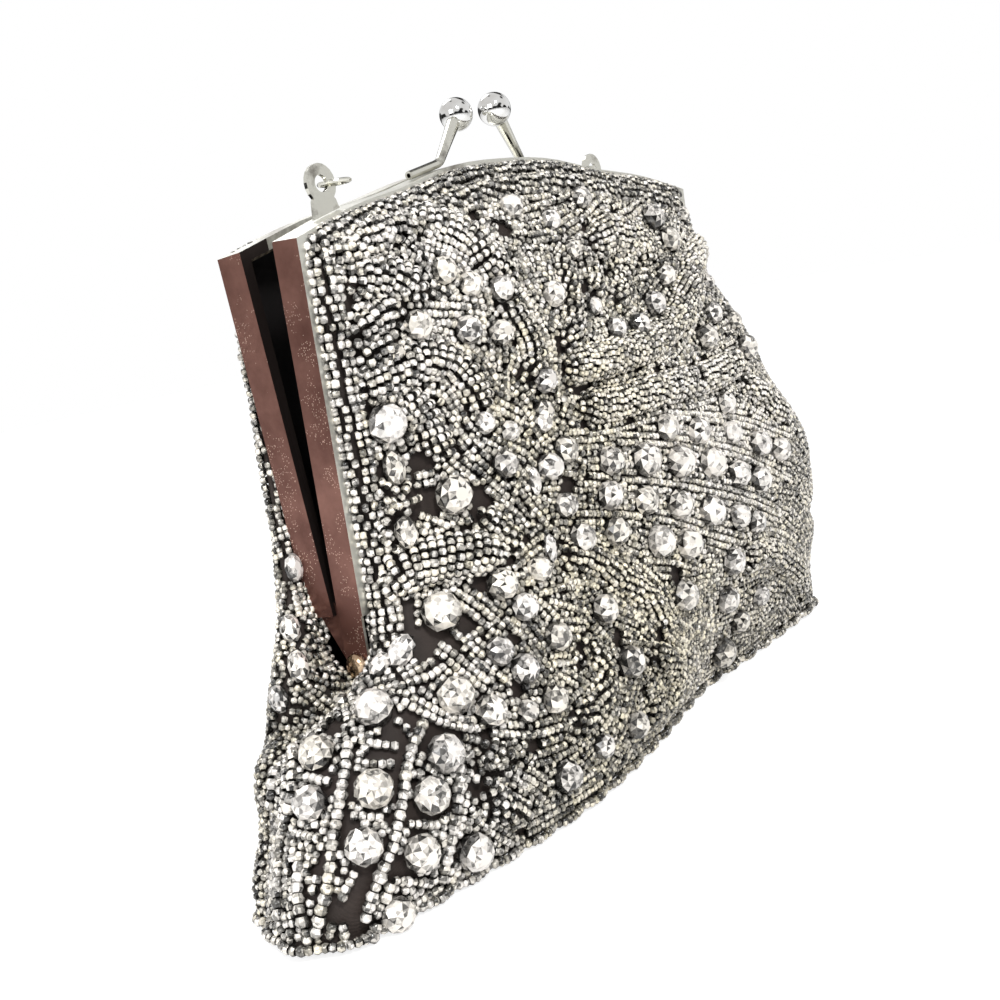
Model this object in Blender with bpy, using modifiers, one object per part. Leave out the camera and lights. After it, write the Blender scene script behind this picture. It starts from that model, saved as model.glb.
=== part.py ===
# Beaded evening handbag on a two-jaw metal frame with a ball clasp.
# Units are metres, +Z is up, -Y is the front. The bag stands on its flat base at z = 0.
# Both jaws turn about one line through the two side rivets.
import math

import bmesh
import bpy
from mathutils import Matrix, Vector

mm = 0.001

# Metal frame: two channel jaws, each an upside-down U
frame_width = 160 * mm          # over the side faces of the arms
jaw_depth = 7.5 * mm            # one channel, front to back
jaw_gap = 0.3 * mm              # between the two jaws where the clasp holds them
sheet_metal = 0.8 * mm          # wall of the channel
lip_length = 2.6 * mm           # channel walls, from the outside inwards
arm_length = 94 * mm            # hinge line to the top corner
arm_foot = 11.8 * mm            # hinge line to the channel's lower end
arch_rise = 13.4 * mm           # middle of the top rail above its corners
arch_shares = (1.0, 0.925, 0.63, 0.39, 0.0)   # rise at even steps, middle to corner
hinge_height = 47 * mm          # hinge line above the base
spring_apart = 0.055            # radians by which each arm leans out, clasp shut
spring_power = 1.4              # how fast the rail bows out towards its corners
rail_steps = 26                 # segments along the top rail

# Hinge
hinge_back_set = 3.75 * mm      # hinge line in front of the line where the jaws meet
eye_radius = 3.45 * mm          # round end of each tongue
rivet_radius = 1.2 * mm
rivet_head_radius = 3.2 * mm
rivet_head_height = 1.6 * mm
rivet_tail_radius = 2.2 * mm
rivet_tail_height = 0.8 * mm
washer_radius = 2.9 * mm
washer_height = 0.5 * mm
opening_angle = 40.0            # degrees that each jaw swings out, as the poses show
swing_margin = 1.3              # the panels clear the pouch over this much of that swing

# Clasp
clasp_offset = 4.3 * mm         # clasp to the right of the frame's middle
ball_radius = 4.3 * mm
ball_spacing = 9.5 * mm         # between ball centres, along the rail
ball_overlap = 2.6 * mm         # each ball leans past the meeting line
ball_rise = 13.3 * mm           # ball centre above the top of the rail
clasp_tube_radius = 1.05 * mm
clasp_neck_radius = 1.75 * mm   # the stem where it enters the ball
clasp_foot_length = 13 * mm
clasp_bend_reach = 24.1 * mm    # bend of the stem to the clasp's middle
clasp_bend_radius = 1.7 * mm    # how far each way the bend is rounded
clasp_pin_share = 0.45          # of the ball's radius that the stem's pin enters
clasp_swell = 0.12              # growth of the tube over its bend
clasp_bore_radius = 0.55 * mm   # the foot is a tube, open at its end
clasp_bore_depth = 5 * mm

# Chain lugs and jump rings
lug_place = 65 * mm             # lug to the frame's middle
lug_height = 11 * mm
lug_width = 8.2 * mm
lug_head_radius = 4.4 * mm
lug_hole_radius = 1.9 * mm
lug_thickness = 0.9 * mm
lug_waist = 3.5 * mm            # half the plate's width below its round head
lug_waist_share = 0.45          # of the height to the head's centre
ring_radius = 3.4 * mm          # to the middle of the wire
ring_wire_radius = 0.5 * mm

# Bag body
base_width = 241 * mm           # over the two lower corners
base_depth_front = 25 * mm      # base to the meeting line, on the front
base_depth_back = 14 * mm
belly_depth_front = 31 * mm     # fullest place of the front panel
belly_depth_back = 19 * mm
base_rounding = 3 * mm          # the base's edge lifts over this height
fabric = 1.4 * mm               # beaded satin with its backing
lining = 0.6 * mm
rim_height = 34 * mm            # where the jaw panels leave the lower pouch
rim_side_height = 54 * mm       # the pouch climbs to here outside the hinges
panel_low_edge = 31 * mm        # lower edge of a jaw panel, inside the pouch
panel_side_low_edge = 41 * mm
panel_side_inset = 4.2 * mm     # a panel's side edge below the channel, inside the arm's face
panel_level_width = 72 * mm     # the panel's lower edge is level over this width
panel_crown_width = 64 * mm     # from a side edge to where the panel is fullest
panel_crown_height = 75 * mm    # from its top edge to where it is fullest
shoulder_start = 77 * mm        # the pouch climbs between these two distances
shoulder_full = 89 * mm
shoulder_slit = 2.6 * mm        # half the slit between the gathered shoulders
shoulder_fullness = 9 * mm      # the right shoulder's front is gathered less, by this much
lining_short = 6 * mm           # the front lining stops short of the right arm
lining_ease = 0.8 * mm          # and hangs this much looser behind its beadwork
cord_width = 2.2 * mm           # paper cord that wedges the fabric in the channel

fit = 0.3 * mm                  # clearance between touching pieces
overrun = 2 * mm                # cutters reach past what they cut

# Shares of the pouch's size, from the base up to the side rim
pouch_width_shares = (1.0, 0.985, 0.945, 0.9, 0.85, 0.79)
pouch_right_shares = (1.0, 0.99, 0.975, 0.955, 0.93, 0.89)   # the right side is fuller
pouch_front_shares = (1.0, 1.05, 1.08, 1.1, 1.12, 1.1)
pouch_back_shares = (1.0, 1.08, 1.14, 1.18, 1.2, 1.18)
pouch_roundness = 2.6
panel_side_roundness = 1.7
panel_top_roundness = 1.8
fold_height = 1.6 * mm          # soft folds of the padded beadwork, each way
fold_length = 26 * mm           # from one fold to the next
fold_margin = 20 * mm           # the folds die out over this distance to an edge

# The front panel's right side hangs out past its arm, a little above the pouch
overhang_reach = 42 * mm        # furthest, past where the panel's side would run
overhang_width = 16 * mm        # from the side edge to the furthest place
overhang_top = 136 * mm
overhang_full = 62 * mm         # it is fullest here
overhang_low = 55 * mm          # and drawn in again here
overhang_power = 0.58           # how soon it grows from its top downwards
overhang_fade = 130 * mm        # the beadwork beside it is drawn over within this width
rail_slant = 1.12               # inset measured upright under the sloping rail
lining_short_rows = 2           # rows of the lining left out at the shoulders

half_width = frame_width / 2
frame_corner = hinge_height + arm_length
foot_height = hinge_height + arm_foot
hinge_y = -hinge_back_set
half_gap = jaw_gap / 2
# The whole bag is set so that its front and back are equally far from the origin
meeting_line = (belly_depth_front - belly_depth_back) / 2
front, back = -1, 1


def clear_scene():
    for old in list(bpy.data.objects):
        bpy.data.objects.remove(old, do_unlink=True)


def smooth_value(values, share):
    """Value at a share 0 to 1 along evenly spaced values, level at the start."""
    last = len(values) - 1
    place = min(max(share, 0.0), 1.0) * last
    index = min(int(place), last - 1)
    t = place - index
    a, b = values[index], values[index + 1]
    before = values[index - 1] if index else b
    after = values[index + 2] if index + 2 <= last else 2 * b - a
    slope_a, slope_b = (b - before) / 2, (after - a) / 2
    return ((2 * t**3 - 3 * t**2 + 1) * a + (t**3 - 2 * t**2 + t) * slope_a
            + (3 * t**2 - 2 * t**3) * b + (t**3 - t**2) * slope_b)


def rail_top(x):
    """Top of the frame above the base, at x."""
    return frame_corner + arch_rise * smooth_value(arch_shares, abs(x) / half_width)


def sprung(x, y, z, side):
    """A point of a flat jaw, leaned out the more the nearer it is to an arm."""
    angle = -side * spring_apart * min(abs(x) / half_width, 1.0) ** spring_power
    dy, dz = y - hinge_y, z - hinge_height
    return Vector((x, hinge_y + dy * math.cos(angle) - dz * math.sin(angle),
                   hinge_height + dy * math.sin(angle) + dz * math.cos(angle)))


def material(name, colour, roughness, metallic):
    made = bpy.data.materials.new(name)
    made.use_nodes = True
    shader = made.node_tree.nodes["Principled BSDF"]
    shader.inputs["Base Color"].default_value = (*colour, 1.0)
    shader.inputs["Roughness"].default_value = roughness
    shader.inputs["Metallic"].default_value = metallic
    return made


def add_object(name, mesh_data, holder, carrier, finish=None):
    """An object whose mesh is in the bag's own coordinates, under its carrier."""
    made = bpy.data.objects.new(name, mesh_data)
    holder.objects.link(made)
    if finish:
        mesh_data.materials.append(material(name, *finish))
    made.parent = carrier
    made.location = -Vector(carrier["bag_place"])
    return made


def finished_mesh(name, mesh, smooth_angle=None):
    bmesh.ops.recalc_face_normals(mesh, faces=mesh.faces)
    data = bpy.data.meshes.new(name)
    mesh.to_mesh(data)
    mesh.free()
    if smooth_angle:
        data.shade_smooth()
        data.set_sharp_from_angle(angle=math.radians(smooth_angle))
    return data


def loft(name, rings, smooth_angle=None):
    """A closed solid through rings of equal length, with flat ends."""
    mesh = bmesh.new()
    rows = [[mesh.verts.new(point) for point in ring] for ring in rings]
    count = len(rows[0])
    for low, high in zip(rows, rows[1:]):
        for i in range(count):
            j = (i + 1) % count
            mesh.faces.new((low[i], low[j], high[j], high[i]))
    mesh.faces.new(list(reversed(rows[0])))
    mesh.faces.new(rows[-1])
    return finished_mesh(name, mesh, smooth_angle)


def prism(name, outline, start, end, along):
    """An outline swept between two vectors' offsets along one axis."""
    mesh = bmesh.new()
    face = mesh.faces.new([mesh.verts.new(point + along * start) for point in outline])
    grown = bmesh.ops.extrude_face_region(mesh, geom=[face])["geom"]
    moved = [item for item in grown if isinstance(item, bmesh.types.BMVert)]
    bmesh.ops.translate(mesh, verts=moved, vec=along * (end - start))
    return finished_mesh(name, mesh)


def cylinder(name, radius, start, end, place, axis, segments=32, top_radius=None):
    """A cylinder or cone from start to end along the axis through place."""
    mesh = bmesh.new()
    turn = Vector((0, 0, 1)).rotation_difference(axis).to_matrix().to_4x4()
    centre = Vector(place) + axis * (start + end) / 2
    bmesh.ops.create_cone(mesh, cap_ends=True, segments=segments, radius1=radius,
                          radius2=radius if top_radius is None else top_radius,
                          depth=end - start, matrix=Matrix.Translation(centre) @ turn)
    return finished_mesh(name, mesh, 40)


def boolean(target, tool, operation):
    step = target.modifiers.new(operation.lower(), "BOOLEAN")
    step.operation = operation
    step.solver = "EXACT"
    step.object = tool
    tool.hide_render = True
    tool.display_type = "WIRE"


def tool_object(name, data, carrier):
    return add_object(name, data, cutters, carrier)


# Frame jaws


def rail_path(inset, low_end):
    """Outline of the frame, inset from its outside, as (x, z) from end to end."""
    reach = half_width - inset
    tops = []
    for i in range(rail_steps + 1):
        x = reach * (2 * i / rail_steps - 1)
        slope = (rail_top(x + fit) - rail_top(x - fit)) / (2 * fit)
        if i in (0, rail_steps):
            slope = 0
        tops.append((x, rail_top(x) - inset * math.sqrt(1 + slope * slope)))
    return [(-reach, low_end)] + tops + [(reach, low_end)]


def channel_rings(profile, side, low_end):
    """Rings of a bent bar: each profile point is (inset from the outside, depth)."""
    paths = {inset: rail_path(inset, low_end) for inset, depth in profile}
    count = len(next(iter(paths.values())))
    return [[sprung(paths[inset][i][0], side * depth, paths[inset][i][1], side)
             for inset, depth in profile] for i in range(count)]


def frame_channel(side):
    far, near = half_gap + jaw_depth, half_gap
    profile = [(0, near), (lip_length, near), (lip_length, near + sheet_metal),
               (sheet_metal, near + sheet_metal), (sheet_metal, far - sheet_metal),
               (lip_length, far - sheet_metal), (lip_length, far), (0, far)]
    return loft("channel", channel_rings(profile, side, foot_height))


def eye_outline(top_near, top_far, top_height):
    """A plate that runs down to a round eye about the hinge line, as (y, z)."""
    points = [(top_near, top_height), (top_far, top_height)]
    start = math.atan2(top_height - hinge_height, top_far - hinge_y) - math.pi / 2
    steps = 14
    first = math.pi * 0.02 if top_far < hinge_y + 2 * eye_radius else -math.pi * 0.18
    last = -math.pi * 1.02 if top_far < hinge_y + 2 * eye_radius else -math.pi * 1.18
    for i in range(steps + 1):
        turn = first + (last - first) * i / steps
        points.append((hinge_y + eye_radius * math.cos(turn),
                       hinge_height + eye_radius * math.sin(turn)))
    return points


def tongue(side, hand):
    """The plate that carries a jaw's eye: outside on the front jaw, inside on the back."""
    inner = 0 if side == front else sheet_metal + fit
    skin = sheet_metal / 16
    low, high = inner + skin, inner + sheet_metal - skin
    if side == front:
        outline = eye_outline(hinge_y - eye_radius, hinge_y + eye_radius,
                              foot_height + sheet_metal * 2)
    else:
        outline = eye_outline(half_gap + skin, half_gap + jaw_depth - sheet_metal,
                              foot_height + sheet_metal * 4)
    points = [Vector((0, y, z)) for y, z in outline]
    data = prism("tongue", points, hand * (half_width - high), hand * (half_width - low),
                 Vector((1, 0, 0)))
    for vertex in data.vertices:
        vertex.co = sprung(*vertex.co, side)
    return data


def joggle(hand):
    """The step that joins the back arm's side wall to its inner tongue."""
    skin = sheet_metal / 10
    near, far = half_gap + skin, half_gap + jaw_depth - sheet_metal * 1.5
    low, high = foot_height + skin, foot_height + sheet_metal * 3
    points = [Vector((0, y, z)) for y, z in ((near, low), (far, low), (far, high), (near, high))]
    deep = 2 * sheet_metal + fit - skin
    data = prism("joggle", points, hand * (half_width - deep), hand * (half_width - skin),
                 Vector((1, 0, 0)))
    for vertex in data.vertices:
        vertex.co = sprung(*vertex.co, back)
    return data


def frame_jaw(name, side, carrier, finish):
    jaw = add_object(name, frame_channel(side), parts, carrier, finish)
    for hand in (-1, 1):
        label = f"{name}_{'left' if hand < 0 else 'right'}"
        boolean(jaw, tool_object(f"{label}_tongue", tongue(side, hand), carrier), "UNION")
        if side == back:
            boolean(jaw, tool_object(f"{label}_joggle", joggle(hand), carrier), "UNION")
        ends = sorted((hand * (half_width + overrun), hand * (half_width - 4 * overrun)))
        bore = cylinder("bore", rivet_radius + fit, ends[0], ends[1],
                        (0, hinge_y, hinge_height), Vector((1, 0, 0)))
        boolean(jaw, tool_object(f"{label}_bore", bore, carrier), "DIFFERENCE")
    return jaw


def rivet(name, hand, carrier, finish):
    """A turned rivet: domed head outside, shank through both eyes, flat tail inside."""
    head = half_width + fit
    tail = half_width - 2 * sheet_metal - washer_height - 3 * fit
    steps = 6
    profile = [(0.0, head + rivet_head_height)]
    for i in range(1, steps + 1):
        turn = math.pi / 2 * i / steps
        profile.append((rivet_head_radius * math.sin(turn),
                        head + rivet_head_height * math.cos(turn)))
    profile += [(rivet_radius, head), (rivet_radius, tail), (rivet_tail_radius, tail),
                (rivet_tail_radius, tail - rivet_tail_height), (0.0, tail - rivet_tail_height)]
    segments = 20
    rings = []
    for radius, along in profile[1:-1]:
        rings.append([Vector((hand * along, hinge_y + radius * math.cos(2 * math.pi * i / segments),
                              hinge_height + radius * math.sin(2 * math.pi * i / segments)))
                      for i in range(segments)])
    crown = [Vector((hand * profile[0][1], point.y, point.z)) for point in rings[0]]
    crown = [Vector((p.x, hinge_y + (p.y - hinge_y) / 8, hinge_height + (p.z - hinge_height) / 8))
             for p in crown]
    return add_object(name, loft("rivet", [crown] + rings, 40), parts, carrier, finish)


def washer(name, hand, carrier, finish):
    far = half_width - 2 * sheet_metal - 2 * fit
    ends = sorted((hand * far, hand * (far - washer_height)))
    middle = (0, hinge_y, hinge_height)
    along = Vector((1, 0, 0))
    made = add_object(name, cylinder("washer", washer_radius, *ends, middle, along),
                      parts, carrier, finish)
    hole = cylinder("hole", rivet_radius + fit, ends[0] - overrun, ends[1] + overrun,
                    middle, along)
    boolean(made, tool_object(f"{name}_hole", hole, carrier), "DIFFERENCE")
    return made


# Clasp


def clasp_line(side):
    """Middle line of a clasp stem: foot end, bend, and ball centre."""
    rail_y = half_gap + jaw_depth / 2
    points = []
    for reach in (clasp_bend_reach + clasp_foot_length, clasp_bend_reach):
        x = side * reach + clasp_offset
        height = rail_top(x) + clasp_tube_radius + fit
        points.append(sprung(x, side * rail_y, height, side))
    ball = Vector((clasp_offset + side * ball_spacing / 2, -side * ball_overlap,
                   rail_top(clasp_offset) + ball_rise))
    return points + [ball]


def clasp_stem(name, side, carrier, finish):
    foot, bend, ball = clasp_line(side)
    shoulder = ball_radius * (1 - clasp_pin_share)
    up = (ball - bend).normalized()
    along = (bend - foot).normalized()
    soft = clasp_bend_radius
    line = [(foot, clasp_tube_radius), (bend - along * soft * 1.5, clasp_tube_radius)]
    steps = 5
    for i in range(steps + 1):
        t = i / steps
        start, end = bend - along * soft, bend + up * soft
        point = start * (1 - t) ** 2 + bend * 2 * t * (1 - t) + end * t ** 2
        line.append((point, clasp_tube_radius * (1 + clasp_swell * t)))
    neck = ball - up * (ball_radius + fit)
    line += [(bend.lerp(neck, 0.5), (clasp_tube_radius + clasp_neck_radius) / 2),
             (neck, clasp_neck_radius)]
    pin = clasp_tube_radius
    line += [(neck + up * fit / 8, pin), (ball - up * shoulder, pin)]
    segments = 16
    rings = []
    side_way = along.cross(up).normalized()
    for index, (point, radius) in enumerate(line):
        if index == 0:
            heading = along
        elif index >= len(line) - 3:
            heading = up
        else:
            heading = (line[index + 1][0] - line[index - 1][0]).normalized()
        lift = side_way.cross(heading).normalized()
        rings.append([point + (side_way * math.cos(2 * math.pi * i / segments)
                               + lift * math.sin(2 * math.pi * i / segments)) * radius
                      for i in range(segments)])
    stem = add_object(name, loft("stem", rings, 50), parts, carrier, finish)
    bore = cylinder("bore", clasp_bore_radius, -overrun, clasp_bore_depth, foot, along, 16)
    boolean(stem, tool_object(f"{name}_bore", bore, carrier), "DIFFERENCE")
    return stem


def clasp_ball(name, side, carrier, finish):
    foot, bend, ball = clasp_line(side)
    up = (ball - bend).normalized()
    mesh = bmesh.new()
    turn = Vector((0, 0, 1)).rotation_difference(up).to_matrix().to_4x4()
    bmesh.ops.create_uvsphere(mesh, u_segments=24, v_segments=14, radius=ball_radius,
                              matrix=Matrix.Translation(ball) @ turn)
    made = add_object(name, finished_mesh("ball", mesh, 60), parts, carrier, finish)
    socket = cylinder("socket", clasp_tube_radius + fit, -ball_radius - overrun,
                      fit - ball_radius * (1 - clasp_pin_share), ball, up, 24)
    boolean(made, tool_object(f"{name}_socket", socket, carrier), "DIFFERENCE")
    return made


# Chain lugs and their rings


def lug_origin(side):
    """Foot of a lug on the middle of its rail."""
    x = side * lug_place
    return sprung(x, side * (half_gap + jaw_depth / 2), rail_top(x) + fit, side)


def chain_lug(name, side, carrier, finish):
    foot = lug_origin(side)
    head = lug_height - lug_head_radius
    slope = (rail_top(foot.x + lug_width / 2) - rail_top(foot.x - lug_width / 2)) / lug_width
    points = [(-lug_width / 2, -slope * lug_width / 2), (lug_width / 2, slope * lug_width / 2)]
    points.append((lug_waist, head * lug_waist_share))
    steps = 16
    for i in range(steps + 1):
        turn = -math.pi / 4 + (math.pi * 1.5) * i / steps
        points.append((lug_head_radius * math.cos(turn), head + lug_head_radius * math.sin(turn)))
    points.append((-lug_waist, head * lug_waist_share))
    outline = [foot + Vector((x, 0, z)) for x, z in points]
    plate = prism("lug", outline, -lug_thickness / 2, lug_thickness / 2, Vector((0, 1, 0)))
    made = add_object(name, plate, parts, carrier, finish)
    hole = cylinder("hole", lug_hole_radius, -overrun, overrun,
                    foot + Vector((0, 0, head)), Vector((0, 1, 0)))
    boolean(made, tool_object(f"{name}_hole", hole, carrier), "DIFFERENCE")
    return made


def ring_pivot(side):
    """Where a jump ring hangs: low in its lug's hole, on the side away from the corner."""
    foot = lug_origin(side)
    hang = lug_hole_radius - ring_wire_radius - fit
    return foot + Vector((-side * hang, 0, lug_height - lug_head_radius))


def jump_ring(name, side, carrier, finish):
    """A ring that lies across the plate, its far side over the rail."""
    pivot = ring_pivot(side)
    data = bpy.data.curves.new("ring", "CURVE")
    data.dimensions = "3D"
    data.bevel_depth = ring_wire_radius
    data.bevel_resolution = 2
    line = data.splines.new("POLY")
    count = 24
    line.points.add(count - 1)
    line.use_cyclic_u = True
    for i in range(count):
        turn = 2 * math.pi * i / count
        x = pivot.x - side * ring_radius * (1 - math.cos(turn))
        y = pivot.y + ring_radius * math.sin(turn)
        line.points[i].co = (x, y, pivot.z, 1)
    curve = bpy.data.objects.new("ring_line", data)
    parts.objects.link(curve)
    bpy.context.view_layer.update()
    graph = bpy.context.evaluated_depsgraph_get()
    solid = bpy.data.meshes.new_from_object(curve.evaluated_get(graph))
    bpy.data.objects.remove(curve)
    solid.materials.clear()
    return add_object(name, solid, parts, carrier, finish)


# Fabric


def superellipse(share, power):
    return max(1 - abs(share) ** power, 0) ** (1 / power)


def pouch_size(z, hand=-1):
    """Half width to one hand, front depth and back depth of the pouch at height z."""
    share = z / rim_side_height
    shares = pouch_right_shares if hand > 0 else pouch_width_shares
    return (base_width / 2 * smooth_value(shares, share),
            base_depth_front * smooth_value(pouch_front_shares, share),
            base_depth_back * smooth_value(pouch_back_shares, share))


def rim(x, middle, side_height, reach, full):
    """Height of an edge that runs level and climbs between two distances from the middle."""
    t = min(max((abs(x) - reach) / (full - reach), 0), 1)
    return middle + (side_height - middle) * t * t * (3 - 2 * t)


def pouch_rim(x):
    return rim(x, rim_height, rim_side_height, shoulder_start, shoulder_full)


def beside_hinge(x):
    """0 between the hinges, 1 out on the shoulders."""
    return min(max((abs(x) - shoulder_start) / (shoulder_full - shoulder_start), 0), 1)


def shell(name, carrier, finish, mesh, inset, wall, left_out=()):
    """A skin of even thickness, set in from an open surface whose faces look outward."""
    mesh.normal_update()
    moved = [(v, v.co - v.normal * inset * min(v.calc_shell_factor(), 1.5)) for v in mesh.verts]
    for vertex, place in moved:
        vertex.co = place
    bmesh.ops.delete(mesh, geom=list(left_out), context="FACES")
    data = bpy.data.meshes.new(name)
    mesh.to_mesh(data)
    mesh.free()
    data.shade_smooth()
    made = add_object(name, data, parts, carrier, finish)
    thick = made.modifiers.new("wall", "SOLIDIFY")
    thick.thickness = wall
    thick.offset = -1
    thick.use_even_offset = True
    return made


def pouch_point(turn, share):
    """Outer skin of the pouch: turn runs round it, share from the base to the rim."""
    along, across = math.cos(turn), math.sin(turn)
    norm = abs(along) ** pouch_roundness + abs(across) ** pouch_roundness
    scale = norm ** (-1 / pouch_roundness)
    z = share * pouch_rim(along * scale * pouch_size(hinge_height)[0])
    half, depth_front, depth_back = pouch_size(z, along)
    depth = depth_back if across > 0 else depth_front
    pull = base_rounding * max(1 - z / (2 * base_rounding), 0)
    x, y = along * scale * (half - pull), across * scale * (depth - pull)
    # outside the hinges the front and back are gathered towards each other
    gather = beside_hinge(x) * max(share - 0.4, 0) / 0.6
    pinched = math.copysign(shoulder_slit + fabric, y)
    if x > 0 and y < 0:
        pinched -= shoulder_fullness
    y += (pinched - y) * gather ** 1.5 * min(abs(y) / shoulder_slit, 1)
    return Vector((x, y, z))


def pouch_shell(name, carrier, finish, inset, wall, short_rows=0, columns=56, rows=7):
    """The lower pouch: open at the top, with a flat base, shorter at the shoulders."""
    mesh = bmesh.new()
    rings = []
    for row in range(rows + 1):
        share = (row / rows) ** 1.25
        rings.append([mesh.verts.new(pouch_point(2 * math.pi * (i + 0.5) / columns, share))
                      for i in range(columns)])
    left_out = []
    for row, (low, high) in enumerate(zip(rings, rings[1:])):
        for i in range(columns):
            j = (i + 1) % columns
            face = mesh.faces.new((low[i], low[j], high[j], high[i]))
            beside = min(abs(high[i].co.x), abs(high[j].co.x)) > shoulder_start
            if row >= rows - short_rows and beside:
                left_out.append(face)
    mesh.faces.new(list(reversed(rings[0])))
    return shell(name, carrier, finish, mesh, inset, wall, left_out)


def swing(x, side):
    """Radius within which a panel turns freely inside the pouch, and the angle it keeps it."""
    wall = fabric + lining + 3 * fit
    edge = pouch_rim(x) + fabric
    steps = 8
    radius = base_width
    for i in range(steps + 1):
        z = edge * (1 - i / steps / 2)
        half, depth_front, depth_back = pouch_size(z)
        depth = (depth_front if side == front else depth_back) - wall
        inner = depth * superellipse(min(abs(x) / (half - wall), 1), pouch_roundness)
        reach = inner - side * hinge_y
        radius = min(radius, math.hypot(reach, hinge_height - z))
    radius -= fit
    below = math.degrees(math.asin(max(min((hinge_height - edge) / radius, 1), -1)))
    return radius, math.radians(max(opening_angle * swing_margin - below, 0))


def fold(x, z, side):
    """Rise and fall of the soft folds at a place, -1 to 1."""
    a, b = x / fold_length, z / fold_length
    crossing = math.sin(2.1 * a + 1.3 * math.sin(1.1 * b + side) + side)
    crossing *= math.sin(2.6 * b + 1.7 * math.sin(0.9 * a - 2 * side))
    return 0.6 * crossing + 0.4 * math.sin(1.7 * (a + b) + 3 * side)


def overhang(from_side, z):
    """How far the front panel's right side is pushed out, this far from its side edge."""
    down = min(max((overhang_top - z) / (overhang_top - overhang_full), 0), 1) ** overhang_power
    t = min(max((z - overhang_low) / (overhang_full - overhang_low), 0), 1)
    turn = min(from_side / overhang_width, 1)
    beside = max(1 - max(from_side - overhang_width, 0) / overhang_fade, 0)
    return overhang_reach * down * t * t * (3 - 2 * t) * math.sin(turn * math.pi / 2) * beside


def panel_point(u, v, side, hangs_out, ease):
    """Outer face of a jaw panel: u runs -1 to 1 across it, v from 0 below to 1 at the lip."""
    seat = sheet_metal + fit
    neck = lip_length + 2 * fit
    top_x = (half_width - seat) * u
    level = min(panel_level_width / 2, half_width - seat)
    low = rim(top_x, panel_low_edge, panel_side_low_edge, level, half_width)
    top = rail_top(top_x) - (neck if v <= 1 else seat) * rail_slant
    z = low + (top - low) * min(v, 1)
    # below the channel the edge passes inside the rivet's tail
    climb = min(max((z - foot_height) / arm_foot, 0), 1)
    edge_x = half_width - panel_side_inset + (panel_side_inset - seat) * climb
    edge_y = half_gap + jaw_depth - sheet_metal - fit
    belly = belly_depth_front if side == front else belly_depth_back
    x = edge_x * u
    from_side = max(edge_x * (1 - abs(u)) - neck, 0)
    from_top = max(top - z, 0) if v <= 1 else 0
    across = superellipse(1 - min(from_side / panel_crown_width, 1), panel_side_roundness)
    upward = superellipse(1 - min(from_top / panel_crown_height, 1), panel_top_roundness)
    depth = edge_y + (belly - edge_y) * across * upward
    pushed = x + (overhang(from_side, z) if hangs_out and u > 0 else 0)
    margin = min(from_side, from_top, fold_margin) / fold_margin
    depth += fold_height * margin * fold(pushed, z, side)
    radius, kept = swing(min(pushed, edge_x), side)
    ceiling = hinge_height + radius * math.sin(kept)
    above = min(z, ceiling) - hinge_height
    limit = math.sqrt(max(radius ** 2 - above ** 2, 0)) + side * hinge_y
    depth = min(depth, limit + max(z - ceiling, 0) * 1.2)
    return sprung(pushed, side * (depth - ease * margin), z, side)


def jaw_panel(name, side, carrier, finish, inset, wall, hangs_out=False, short_of_arm=0,
              ease=0, columns=34, rows=20):
    """A beaded panel or its lining, from the rail down into the pouch."""
    mesh = bmesh.new()
    tucked = (lip_length + 2 * fit) / half_width
    shares = [-1] + [(1 - tucked) * math.sin(math.pi * (i / columns - 0.5))
                     for i in range(columns + 1)] + [1]
    heights = [row / rows for row in range(rows + 1)] + [2]
    shares = [u for u in shares if u <= 1 - short_of_arm / half_width]
    grid = [[mesh.verts.new(panel_point(u, v, side, hangs_out, ease)) for u in shares] for v in heights]
    for low, high in zip(grid, grid[1:]):
        for i in range(len(shares) - 1):
            corners = (low[i], low[i + 1], high[i + 1], high[i])
            mesh.faces.new(corners if side == front else tuple(reversed(corners)))
    return shell(name, carrier, finish, mesh, inset, wall)


def filler_cord(name, side, carrier, finish):
    """The cord pressed into the channel behind the fabric, from arm foot to arm foot."""
    near = half_gap + sheet_metal + fit
    far = half_gap + jaw_depth - sheet_metal - fabric - lining - 3 * fit
    low, high = sheet_metal + fit, sheet_metal + fit + cord_width
    cut_y, cut_n = (far - near) / 4, cord_width / 4
    profile = [(low + cut_n, near), (high - cut_n, near), (high, near + cut_y),
               (high, far - cut_y), (high - cut_n, far), (low + cut_n, far),
               (low, far - cut_y), (low, near + cut_y)]
    rings = channel_rings(profile, side, foot_height + arm_foot)
    return add_object(name, loft("cord", rings, 50), parts, carrier, finish)


# Assembly

clear_scene()
parts = bpy.data.collections.new("beaded_handbag")
cutters = bpy.data.collections.new("cutters")
for group in (parts, cutters):
    bpy.context.scene.collection.children.link(group)


def carrier_at(name, place, parent=None):
    """An empty that carries pieces; bag_place is its place in the bag's coordinates."""
    made = bpy.data.objects.new(name, None)
    parts.objects.link(made)
    made["bag_place"] = tuple(place)
    made.parent = parent
    made.location = Vector(place) - Vector(parent["bag_place"] if parent else (0, -meeting_line, 0))
    return made


pouch_body = carrier_at("pouch_carrier", (0, 0, 0))
hinge_place = (0, hinge_y, hinge_height)
front_body = carrier_at("front_jaw_carrier", hinge_place)
back_body = carrier_at("back_jaw_carrier", hinge_place)
front_ring_body = carrier_at("front_ring_carrier", ring_pivot(front), front_body)
back_ring_body = carrier_at("back_ring_carrier", ring_pivot(back), back_body)

silver = ((0.78, 0.77, 0.74), 0.22, 1.0)
copper = ((0.36, 0.22, 0.18), 0.35, 1.0)
chrome = ((0.86, 0.86, 0.86), 0.08, 1.0)
beadwork = ((0.62, 0.61, 0.57), 0.3, 0.1)
satin = ((0.05, 0.04, 0.04), 0.45, 0.0)
paper = ((0.55, 0.47, 0.36), 0.9, 0.0)

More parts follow.
